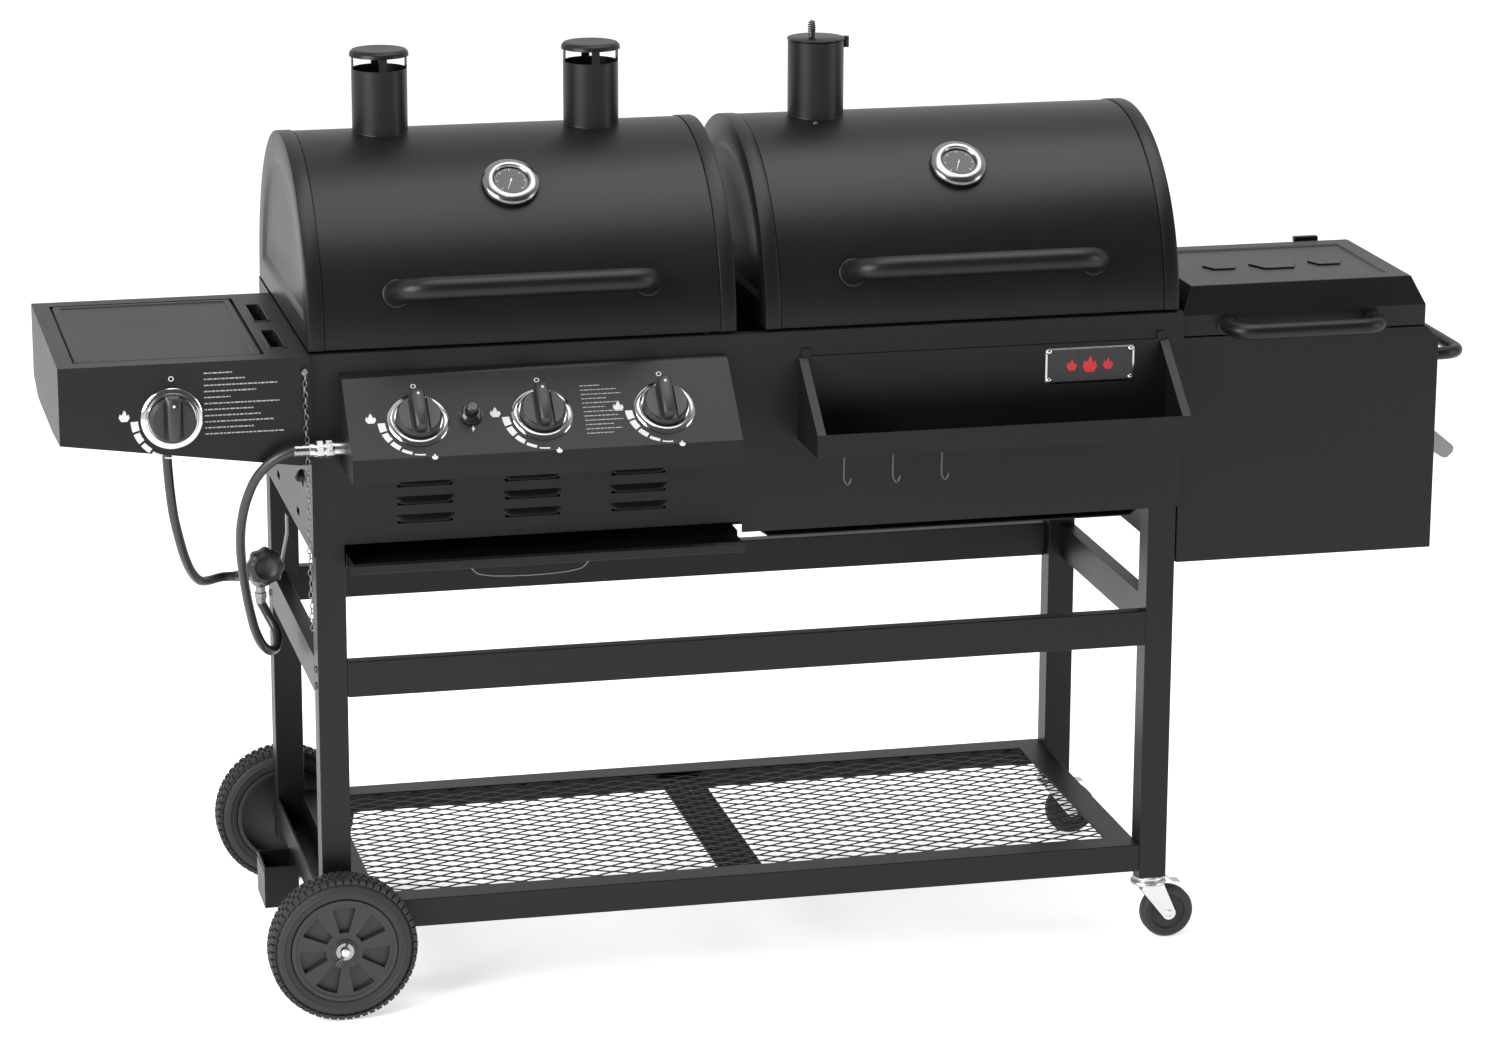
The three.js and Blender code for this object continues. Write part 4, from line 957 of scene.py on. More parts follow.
class GRILL_OT_knobs(bpy.types.Operator):
    """Builds the burner knobs, their chrome bezels and the printed flame scale"""

    bl_idname = "grill.knobs"
    bl_label = "Knobs and scales"
    bezel = [
        (0.0410, 0), (0.0410, 0.0010), (0.0390, 0.0026), (0.0352, 0.0034), (0.0342, 0.0050),
        (0.0328, 0.0056), (0.0318, 0.0050), (0.0318, 0.0008), (0, 0.0008),
    ]
    base = [
        (0, 0.002), (0.0300, 0.002), (0.0305, 0.009), (0.0302, 0.0125), (0.0288, 0.0140), (0, 0.0140),
    ]
    shoulder_edge, shoulder_radius = 0.0118, 0.0282
    grip_half, grip_width = 0.0315, 0.0092
    grip_low, grip_high = 0.010, 0.0310
    # Along the grip: place, width and height, each as a share of the grip's own.
    grip_sections = (
        (-0.80, 0.62, 0.56), (-0.72, 0.80, 0.78), (-0.4, 0.92, 0.95), (0, 0.94, 1.0),
        (0.6, 1.0, 1.0), (0.96, 1.0, 0.97), (1.04, 0.88, 0.90),
    )
    scale_radius, off_mark = 0.0545, 0.0535
    scale_widths = (0.0098, 0.0086, 0.0068, 0.0044, 0.0020)
    flame_outline = [
        (-0.55, -1.0), (0.55, -1.0), (1.0, -0.3), (0.8, 0.35), (0.45, 0.05), (0.3, 0.75), (0.0, 1.15),
        (-0.25, 0.6), (-0.5, 0.15), (-0.8, 0.45), (-1.0, -0.3),
    ]

    def execute(self, context):
        bezels, scale = Shape(), Shape()
        for node, panel in knob_seats().items():
            self.knob(node, panel)
            bezels.lathe(panel.place, panel.out, self.bezel, 64)
            self.flame_scale(scale, panel)
        bezels.piece("knob_bezels", "chrome", "cart", crease=28)
        scale.piece("flame_scales", "ink", "cart")
        return {"FINISHED"}

    def knob(self, node, panel):
        """A round base with two crescent shoulders and a raised grip bar between grooves."""
        body, out = BODY_OF[node], panel.out
        shape = Shape()
        shape.lathe(panel.place, out, self.base, 48)
        sweep = math.degrees(math.acos(self.shoulder_edge / self.shoulder_radius))
        crescent = arc((0, 0), self.shoulder_radius, -sweep, sweep, 16)
        for outline in (crescent, [(-u, v) for u, v in reversed(crescent)]):
            panel.extrude(shape, outline, 0.013, 0.0052)
        shape.piece(node + "_base", "plastic", body, (node,), bevel=0.0011, crease=35, segments=3)
        grip = Shape()
        grip.loops([self.section(panel, *part) for part in self.grip_sections], caps=(True, True))
        grip.piece(node + "_grip", "plastic", body, bevel=0.0008, crease=40)
        dot = Shape()
        middle = panel.point(0, self.grip_half * 0.74, 0.0298)
        dot.lathe(middle, out, [(0.0019, 0), (0.0019, 0.0016), (0.0012, 0.0019), (0, 0.0019)], 16)
        dot.piece(node + "_dot", "ink", body)

    def section(self, panel, along, wide, tall):
        """One section of the grip bar, with chamfered shoulders."""
        w, low = wide * self.grip_width, self.grip_low
        top = low + (self.grip_high - low) * tall
        outline = [
            (-w, low), (w, low), (w * 0.94, top - 0.002), (w * 0.62, top), (-w * 0.62, top),
            (-w * 0.94, top - 0.002),
        ]
        return [panel.point(u, along * self.grip_half, height) for u, height in outline]

    def flame_scale(self, shape, panel):
        """Five blocks that shrink from high to low, a large and a small flame, and a ring at off."""
        for i, width in enumerate(self.scale_widths):
            start = 182 + i * 19
            end = start + 15.4
            outer, inner = self.scale_radius, self.scale_radius - width
            panel.ink(shape, arc((0, 0), outer, start, end, 4) + arc((0, 0), inner, end, start, 4))
        panel.ink(shape, placed(self.flame_outline, -0.0625, 0.006, 0.0072))
        panel.ink(shape, placed(self.flame_outline, 0.015, -0.0575, 0.0042))
        outer = placed(circle(0.0036, 20), 0, self.off_mark, 1)
        inner = placed(circle(0.0024, 20), 0, self.off_mark, 1)
        walls = ((outer, LIFT), (outer, 2 * LIFT), (inner, 2 * LIFT), (inner, LIFT))
        shape.loops([panel.ring(outline, lift) for outline, lift in walls])


class GRILL_OT_igniter(bpy.types.Operator):
    """Builds the igniter button with its ribbed collar"""

    bl_idname = "grill.igniter"
    bl_label = "Igniter"
    ribs = 4

    def execute(self, context):
        seat = knob_seats()["centre_knob"]
        place = Vector((BOX["igniter_button"].mid.x, seat.place.y, seat.place.z)) + seat.up * 0.004
        profile = [(0.0085, 0.0), (0.0155, 0.0), (0.0155, 0.003)]
        for i in range(self.ribs):
            height, shrink = 0.0034 + i * 0.0018, i * 0.0004
            profile += [(0.0135 - shrink, height), (0.0122 - shrink, height + 0.0009)]
        profile += [(0.0112, 0.0112), (0.0092, 0.0112), (0.0090, 0.004)]
        collar = Shape()
        collar.lathe(place, seat.out, profile, 40)
        collar.piece("igniter_collar", "gloss", "cart", crease=40)
        button = Shape()
        button.lathe(place, seat.out, [
            (0, 0.001), (0.0083, 0.001), (0.0083, 0.0195), (0.0076, 0.0216), (0.0058, 0.0224),
            (0.003, 0.0218), (0, 0.0214),
        ], 40)
        button.piece("igniter_cap", "gloss", BODY_OF["igniter_button"], ("igniter_button",), crease=50)
        bolt = [
            (-0.002, 0.0), (0.0012, 0.005), (0.0008, 0.001), (0.003, 0.001), (-0.0012, -0.005),
            (-0.0006, -0.0006),
        ]
        spark = Shape()
        Panel(place - seat.up * 0.0215, seat.up, seat.out).ink(spark, bolt)
        spark.piece("igniter_mark", "ink", "cart")
        return {"FINISHED"}


# ---------------------------------------------------------------- side shelf


class GRILL_OT_side_burner_cover(bpy.types.Operator):
    """Builds the side burner's flat cover and the shelf's printed notes"""

    bl_idname = "grill.side_burner_cover"
    bl_label = "Side burner cover"
    slot_starts = (50, 214)
    slot_width, slot_length = 0.017, 0.102
    # Each printed row's length, as a share of the longest row.
    shelf_rows = (0.36, 0.52, 0.93, 0.66, 0.33, 0.95, 0.62, 0.72, 0.88, 0.62, 1.0)
    panel_rows = (0.5, 0.9, 1.0, 0.62, 0.92, 0.55, 1.0, 0.86, 0.95, 0.7, 0.9, 0.66)

    def execute(self, context):
        self.cover()
        self.slot_rims()
        self.notes()
        return {"FINISHED"}

    def cover(self):
        box = BOX["side_burner_lid"]
        low, high = box.low.z, box.high.z
        shape = Shape()
        shape.loops([
            level_ring(box.mid, box.size.x - 2 * inset, box.size.y - 2 * inset, 0.004, z)
            for inset, z in (
                (0.003, low), (0.0018, low + 0.001), (0.0018, high - 0.0016),
                (0.0034, high), (0.011, high), (0.0125, high - 0.0014),
            )
        ], caps=(True, True))
        body = BODY_OF["side_burner_lid"]
        shape.piece("side_burner_cover", "coat", body, ("side_burner_lid",), crease=22)

    def slot_rims(self):
        """Pressed rims round the two tool slots, with dark troughs under them."""
        top = BOX["side_shelf"].high.z
        rims, troughs = Shape(), Shape()
        for start in self.slot_starts:
            centre = at(-37.5, start + 51, 0)

            def ring(out, lift):
                width, length = self.slot_width + 2 * out, self.slot_length + 2 * out
                return level_ring(centre, width, length, 0.002 + out, top + lift)

            rim = ((-0.0002, -0.004), (0.0006, 0.0010), (0.0026, 0.0012), (0.0040, 0))
            rims.loops([ring(out, lift) for out, lift in rim])
            troughs.loops([ring(0.0012, -0.0035), ring(0.0012, -0.024)], caps=(False, True))
        rims.piece("tool_slot_rims", "coat", "cart", crease=30)
        troughs.piece("tool_slot_troughs", "iron", "cart", crease=30)

    def notes(self):
        """Rows of plain strokes where the instructions are printed."""
        shelf, knob = BOX["side_shelf"], BOX["side_knob"]
        on_shelf = Shape()
        face = Panel(Vector((knob.high.x + 0.012, shelf.low.y, shelf.high.z - 0.016)), Z, -Y)
        for row, width in enumerate(self.shelf_rows):
            dashed(on_shelf, face, 0.0, -0.0082 * row, width * 0.104, 0.0017, row)
        on_shelf.piece("side_shelf_print", "faint_ink", "cart")
        on_panel = Shape()
        seat = knob_seats()
        left, right = seat["centre_knob"], seat["right_knob"]
        middle = Panel((left.place + right.place) / 2, left.up, left.out)
        for row, width in enumerate(self.panel_rows):
            dashed(on_panel, middle, -0.027, 0.040 - 0.0068 * row, width * 0.054, 0.0014, row + 5)
        on_panel.piece("control_panel_print", "faint_ink", "cart")


STROKES = (0.0052, 0.0034, 0.0068, 0.0045, 0.0028)
STROKE_GAP = 0.0012


def dashed(shape, face, u, v, width, height, first):
    """One printed row as a run of short strokes, of which first says where the pattern starts."""
    end, step = u + width, first
    while u < end:
        length = min(STROKES[step % len(STROKES)], end - u)
        face.ink(shape, oblong(u, v, u + length, v + height))
        u += length + STROKE_GAP
        step += 1


# ---------------------------------------------------------------- utensil tray


class GRILL_OT_tray_badge(bpy.types.Operator):
    """Adds the plain badge in the tray, and the hanging hooks"""

    bl_idname = "grill.tray_badge"
    bl_label = "Badge and hooks"

    badge_width, badge_height = 0.127, 0.050
    wire = 0.0015
    flame_outline = [
        (-0.55, -1.0), (0.55, -1.0), (1.0, -0.2), (0.65, 0.5), (0.4, 0.15), (0.1, 1.2), (-0.35, 0.35),
        (-0.7, 0.55), (-1.0, -0.2),
    ]

    def execute(self, context):
        self.badge()
        self.tabs()
        for node in ("hook_1", "hook_2", "hook_3"):
            self.hook(node)
        return {"FINISHED"}

    def badge(self):
        tray = BOX["front_tray"]
        place = Vector((tray.high.x - 0.1125, tray.high.y - 0.002, tray.low.z + 0.085))
        face = Panel(place, Z, -Y)
        width, height = self.badge_width, self.badge_height
        outline = rounded(width, height, 0.005)
        inner = rounded(width - 0.005, height - 0.005, 0.004)
        rim = Shape()
        walls = ((outline, 0), (outline, 0.0012), (inner, 0.0015), (inner, 0.0008))
        rim.loops([face.ring(edge, lift) for edge, lift in walls])
        u, v = width / 2 - 0.005, height / 2 - 0.005
        for corner in oblong(-u, -v, u, v):
            rim.lathe(face.point(*corner, 0.001), face.out, screw_profile(0.0042), 20)
        rim.piece("badge_rim", "chrome", "cart", crease=45)
        field = Shape()
        field.loops([face.ring(inner, 0.0004), face.ring(inner, 0.0010)], caps=(True, True))
        field.piece("badge_field", "gloss", "cart")
        mark = Shape()
        for middle, size in ((-0.026, 0.0075), (0, 0.0105), (0.026, 0.0075)):
            face.extrude(mark, placed(self.flame_outline, middle, 0, size), 0.001, 0.0006)
        mark.piece("badge_flames", "red_ink", "cart", bevel=0.0002)

    def tabs(self):
        tray = BOX["front_tray"]
        shape = Shape()
        for x in (tray.low.x + 0.004, tray.high.x - 0.016):
            low = Vector((x, tray.high.y - 0.003, tray.high.z - 0.001))
            shape.block(low, low + Vector((0.012, 0.002, 0.012)))
        shape.piece("tray_hanging_tabs", "coat", "cart", bevel=0.0006)

    def hook(self, node):
        box, wire = BOX[node], self.wire
        reach = (box.size.x / 2 - wire) / 2
        top, low = box.high.z - wire, box.low.z + wire
        route = [
            (-2, top - 0.0112), (-2, top - 0.006), (-1.7, top - 0.002), (-1, top), (-0.3, top - 0.002),
            (0, top - 0.007), (0, (top + low) / 2), (0, low + 0.009), (0.4, low + 0.003), (1, low),
            (1.7, low + 0.003), (2, low + 0.0086),
        ]
        shape = Shape()
        shape.tube(curved([(box.mid.x + u * reach, box.mid.y, z) for u, z in route], 4), wire, 10)
        shape.piece(node + "_wire", "dark_wire", BODY_OF[node], (node,), crease=50)


# ---------------------------------------------------------------- firebox


class GRILL_OT_firebox(bpy.types.Operator):
    """Builds the firebox lid, its handles and the air slide"""

    bl_idname = "grill.firebox"
    bl_label = "Firebox"

    skirt, inset = 0.030, 0.017
    # Size of each pressed flame, from left to right, and the distance between their middles.
    pressed_sizes, pressed_pitch = (0.026, 0.036, 0.026), 0.078
    flame_outline = [
        (-0.6, -1.0), (0.6, -1.0), (1.0, -0.1), (0.3, 0.4), (0.0, 1.2), (-0.3, 0.4), (-1.0, -0.1),
    ]
    tab_outline = [
        (0, 0.052), (0, 0.020), (0.016, 0.010), (0.022, 0.0105), (0.030, 0.018), (0.0315, 0.024),
        (0.029, 0.028),
    ]

    def execute(self, context):
        self.lid()
        self.handles()
        self.slide()
        return {"FINISHED"}

    def lid(self):
        box, body = BOX["firebox_lid"], BODY_OF["firebox_lid"]
        low, top, inset = box.low.z, box.high.z, self.inset
        sunk = top - 0.0022
        shape = Shape()
        shape.loops([
            level_ring(box.mid, box.size.x - 2 * inward, box.size.y - 2 * inward, 0.002, z)
            for inward, z in (
                (0.0016, low + 0.02), (0.0016, low), (0, low), (0, low + self.skirt - 0.001),
                (0.00048, low + self.skirt), (inset, top - 0.0006), (inset + 0.0012, top),
                (inset + 0.026, top), (inset + 0.0285, sunk), (inset + 0.06, sunk),
            )
        ], caps=(False, True))
        shape.piece("firebox_lid_shell", "barrel", body, ("firebox_lid",), crease=18)
        pressing = Shape()
        centre = Vector((box.mid.x, box.mid.y, sunk))
        for i, size in enumerate(self.pressed_sizes):
            outline = placed(self.flame_outline, (i - 1) * self.pressed_pitch, 0, size)
            pressing.prism(outline, centre, X, Y, top - sunk)
        pressing.piece("firebox_lid_pressing", "barrel", body, bevel=0.0012, crease=30, segments=3)
        stop = Shape()
        middle = Vector((box.high.x - 0.076, box.high.y, top))
        stop.block(middle + Vector((-0.018, -0.006, -0.004)), middle + Vector((0.018, 0.004, 0.004)))
        pin = Vector((middle.x - 0.02, box.high.y + 0.003, low + 0.004))
        stop.lathe(pin, X, disc(0.004, 0, 0.04), 16)
        stop.piece("firebox_lid_stop", "barrel", body, bevel=0.001)

    def handles(self):
        box, body = BOX["firebox_lid_handle"], BODY_OF["firebox_lid_handle"]
        radius = box.size.z / 2
        left, right = box.low.x + radius, box.high.x - radius
        z, back, front = box.mid.z, box.high.y, box.low.y + radius
        route = [(left, back, z), (left, front, z), (right, front, z), (right, back, z)]
        self.handle("firebox_lid_handle", route, radius, body, -Y)
        side = BOX["firebox_side_handle"]
        radius = side.size.z / 2
        near, far = side.low.y + radius, side.high.y - radius
        z, wall, out = side.mid.z, side.low.x, side.high.x - radius
        route = [(wall, near, z), (out, near, z), (out, far, z), (wall, far, z)]
        self.handle("firebox_side_handle", route, radius, "cart", X)

    def handle(self, node, route, radius, body, outward):
        shape = Shape()
        shape.tube(filleted(route, 0.034, 12), radius, 24)
        flange = [(0, 0), (radius + 0.0025, 0), (radius + 0.0025, 0.0018), (radius, 0.0026)]
        for place in (route[0], route[-1]):
            shape.lathe(Vector(place), outward, flange, 24)
        shape.piece(node + "_tube", "barrel", body, (node,), crease=45)

    def slide(self):
        box, body = BOX["firebox_damper"], BODY_OF["firebox_damper"]
        thick = Vector((0.0016, 0, 0))
        plate = Shape()
        plate.block(box.low, Vector((box.low.x, box.high.y, box.high.z)) + thick)
        plate.piece("firebox_air_slide", "barrel", body, ("firebox_damper",), bevel=0.0005)
        tab = Shape()
        tab.prism(self.tab_outline, box.low + Y * thick.x, X, Z, thick.x)
        tab.piece("firebox_air_tab", "dull", body, bevel=0.0004)


# ---------------------------------------------------------------- bottom shelf


class GRILL_OT_shelf_mesh(bpy.types.Operator):
    """Builds the expanded metal of the bottom shelf"""

    bl_idname = "grill.shelf_mesh"
    bl_label = "Shelf mesh"

    thick, lean = 0.0014, 0.0003

    def execute(self, context):
        sizes = context.scene.grill_sizes
        box = BOX["shelf_mesh"]
        columns = round(box.size.x / sizes.mesh_pitch[0])
        rows = round(box.size.y / sizes.mesh_pitch[1])
        step_x, step_y = box.size.x / columns, box.size.y / rows
        shape = Shape()
        for row in range(rows * 2):
            line = []
            for column in range(columns * 2 + 1):
                up = (column + row) % 2 == 0
                x = box.low.x + column * step_x / 2
                y = box.low.y + (row + (1 if up else 0)) * step_y / 2
                line.append((x, y, up))
            self.strand(shape, line, sizes.mesh_strand / 2, box.high.z)
        shape.piece("shelf_expanded_mesh", "coat", "cart", ("shelf_mesh",), crease=30)
        return {"FINISHED"}

    def strand(self, shape, line, half, top):
        """One zigzag strand, tilted as expanded metal is."""
        rings = []
        for x, y, up in line:
            lean = self.lean if up else -self.lean
            section = ((-half, -self.thick), (half, lean - self.thick), (half, lean), (-half, 0))
            rings.append([Vector((x, y + across, top + lift)) for across, lift in section])
        shape.loops(rings, caps=(True, True))


# ---------------------------------------------------------------- wheels and casters


class GRILL_OT_wheels(bpy.types.Operator):
    """Builds the treaded tyres, the rim rings and the axle ends"""

    bl_idname = "grill.wheels"
    bl_label = "Wheels"

    lug_height, lug_half = 0.0032, 0.0044
    # Each row of lugs: its place across the tread, its width and its shift round the tyre in lugs.
    lug_rows = (
        (-0.0165, 0.0078, 0.0), (-0.0055, 0.0082, 0.5), (0.0055, 0.0082, 0.0), (0.0165, 0.0078, 0.5),
    )
    hub_ring = [(0.017, -0.004), (0.0165, 0.0006), (0.0145, 0.0014), (0.0085, 0.0014), (0.008, -0.001)]
    washer = [(0.0065, 0), (0.0122, 0), (0.0122, 0.0012), (0.0065, 0.0012), (0.0065, 0)]
    pin_route = [
        (0.004, 0.013), (0.001, 0.006), (-0.002, -0.002), (-0.006, -0.010), (-0.010, -0.013),
        (-0.012, -0.016), (-0.010, -0.018), (-0.0075, -0.016), (-0.0045, -0.010), (0.0, -0.003),
    ]
    axle_end = [(0, 0.0030), (0.0052, 0.0030), (0.0064, 0.0020), (0.0064, -0.002)]

    def execute(self, context):
        for prefix, outward in (("front", -Y), ("rear", Y)):
            self.tread(prefix, context.scene.grill_sizes.tread_lugs)
            self.axle(prefix, outward)
        return {"FINISHED"}

    def tread(self, prefix, lugs):
        """The tyre with its raised sidewall ring and its rows of lugs."""
        box, body = BOX[prefix + "_tyre"], BODY_OF[prefix + "_tyre"]
        radius, half = box.size.x / 2, box.size.y / 2
        rim = BOX[prefix + "_rim"].size.x / 2
        base = radius - self.lug_height
        section = [
            (rim + 0.0003, half - 0.004), (rim + 0.0008, half - 0.0022), (rim + 0.003, half - 0.0008),
            (rim + 0.0085, half - 0.0008), (rim + 0.0095, half + 0.0004), (rim + 0.0118, half + 0.0004),
            (rim + 0.0128, half - 0.0008), (rim + 0.0165, half - 0.0014), (base - 0.003, half - 0.0055),
            (base, half - 0.011),
        ]
        section += [(reach, -side) for reach, side in reversed(section)]
        shape = Shape()
        shape.lathe(box.mid, Y, section, 96, closed=True)
        for y, width, shift in self.lug_rows:
            for i in range(lugs):
                turn = math.tau * (i + shift) / lugs
                self.lug(shape, box.mid, turn, y, width, base - 0.0012, radius)
        shape.piece(prefix + "_tread", "rubber", body, (prefix + "_tyre",), crease=40)

    def axle(self, prefix, outward):
        """The rim's rings, and the washer, pin and axle end that hold the wheel."""
        box, body = BOX[prefix + "_tyre"], BODY_OF[prefix + "_tyre"]
        hub = box.mid + outward * box.size.y / 2
        reach = BOX[prefix + "_rim"].size.x / 2 - 0.0035
        rings = Shape()
        rings.lathe(hub - outward * 0.0015, outward, [
            (reach + 0.0016, -0.001), (reach + 0.0013, 0.0010), (reach, 0.0014), (reach - 0.0013, 0.0010),
            (reach - 0.0016, -0.001),
        ], 72)
        rings.lathe(hub, outward, self.hub_ring, 40)
        rings.piece(prefix + "_rim_rings", "plastic", body, crease=40)
        washer = Shape()
        washer.lathe(hub + outward * 0.0016, outward, self.washer, 40)
        washer.piece(prefix + "_axle_washer", "satin", "cart", crease=40)
        pin = Shape()
        tip = hub + outward * 0.0052
        pin.tube(curved([tip + X * u + Z * v for u, v in self.pin_route], 4), 0.0012, 8)
        pin.lathe(hub, outward, self.axle_end, 24)
        pin.piece(prefix + "_cotter_pin", "dark_wire", "cart", crease=50)

    def lug(self, shape, centre, turn, y, width, low, high):
        """One block of tread, which falls away at its outer side in the rows on the shoulders."""
        out = Vector((math.cos(turn), 0, math.sin(turn)))
        along = Vector((-math.sin(turn), 0, math.cos(turn)))
        lower = oblong(-self.lug_half, -width / 2, self.lug_half, width / 2)
        upper = [(u * 0.82, v * 0.86) for u, v in lower]
        shoulder = abs(y) > 0.01
        rings = []
        for outline, reach, fall in ((lower, low, 0.0028), (upper, high, 0.0016)):
            rings.append([
                centre + out * (reach - (fall if shoulder and v * y > 0 else 0)) + along * u + Y * (y + v)
                for u, v in outline
            ])
        shape.loops(rings, caps=(True, True))


class GRILL_OT_casters(bpy.types.Operator):
    """Builds the swivel casters"""

    bl_idname = "grill.casters"
    bl_label = "Casters"
    bl_label = "Casters"
    # Measured down from the end of the leg.
    swivel = [
        (0, 0), (0.0205, 0), (0.0222, -0.002), (0.0222, -0.0042), (0.0195, -0.0055), (0.0195, -0.0066),
        (0.0245, -0.0080), (0.0258, -0.0105), (0.0240, -0.0135), (0.019, -0.0150), (0, -0.0150),
    ]
    rivet = [(0.0055, -0.001), (0.0055, 0.0008), (0.0042, 0.002), (0.0028, 0.0016), (0, 0.0016)]
    plate = 0.0022

    def execute(self, context):
        for prefix in ("front", "rear"):
            self.fork(prefix)
            self.roller(prefix)
        return {"FINISHED"}

    def fork(self, prefix):
        """The swivel with its two cheeks, and the brake tab over them."""
        node = prefix + "_caster_fork"
        axle, leg = BOX[prefix + "_caster_wheel"].mid, BOX[prefix + "_right_leg"]
        inner = BOX[prefix + "_caster_wheel"].size.y / 2 + self.plate
        stem = Vector((leg.mid.x, leg.mid.y, leg.low.z))
        crown = stem.z - 0.0135
        shape = Shape()
        shape.lathe(stem, Z, self.swivel, 48)
        cheek = [
            (stem.x + 0.0195, crown), (stem.x - 0.012, crown), (stem.x - 0.014, crown - 0.006),
            *arc((axle.x, axle.z), 0.0098, 215, 370, 10),
        ]
        for sign in (1, -1):
            edge = axle.y + (inner + self.plate if sign > 0 else -inner)
            shape.prism(cheek[::-1], Y * edge, X, Z, self.plate)
            shape.lathe(axle + Y * sign * (inner + self.plate), Y * sign, self.rivet, 20)
        shape.block(
            Vector((stem.x - 0.014, axle.y - inner - self.plate, crown - 0.0006)),
            Vector((stem.x + 0.0195, axle.y + inner + self.plate, crown + 0.0016)),
        )
        shape.piece(prefix + "_caster_bracket", "zinc", BODY_OF[node], (node,), bevel=0.0005, crease=35)
        brake = Shape()
        route = [
            (stem.x + 0.016, crown + 0.008), (stem.x + 0.026, crown + 0.0085),
            (stem.x + 0.031, crown + 0.003), (stem.x + 0.036, crown + 0.0002),
            (axle.x + 0.018, crown - 0.0005),
        ]
        for (u, v), (p, q) in zip(route, route[1:]):
            outline = [(u, v), (p, q), (p, q + 0.0018), (u, v + 0.0018)]
            brake.prism(outline, Y * (axle.y + 0.009), X, Z, 0.018)
        brake.piece(prefix + "_caster_brake", "zinc", BODY_OF[node], bevel=0.0004)

    def roller(self, prefix):
        box, body = BOX[prefix + "_caster_wheel"], BODY_OF[prefix + "_caster_wheel"]
        radius, half = box.size.x / 2, box.size.y / 2
        side = [
            (0.0045, half - 0.001), (0.010, half - 0.001), (0.0115, half - 0.004),
            (radius - 0.014, half - 0.004), (radius - 0.0125, half - 0.0012), (radius - 0.005, half),
            (radius - 0.002, half - 0.002), (radius, half - 0.006),
        ]
        profile = side + [(reach, -height) for reach, height in reversed(side)]
        shape = Shape()
        shape.lathe(box.mid, Y, profile, 64, closed=True)
        shape.piece(prefix + "_caster_tread", "rubber", body, (prefix + "_caster_wheel",), crease=35)


# ---------------------------------------------------------------- gas fittings


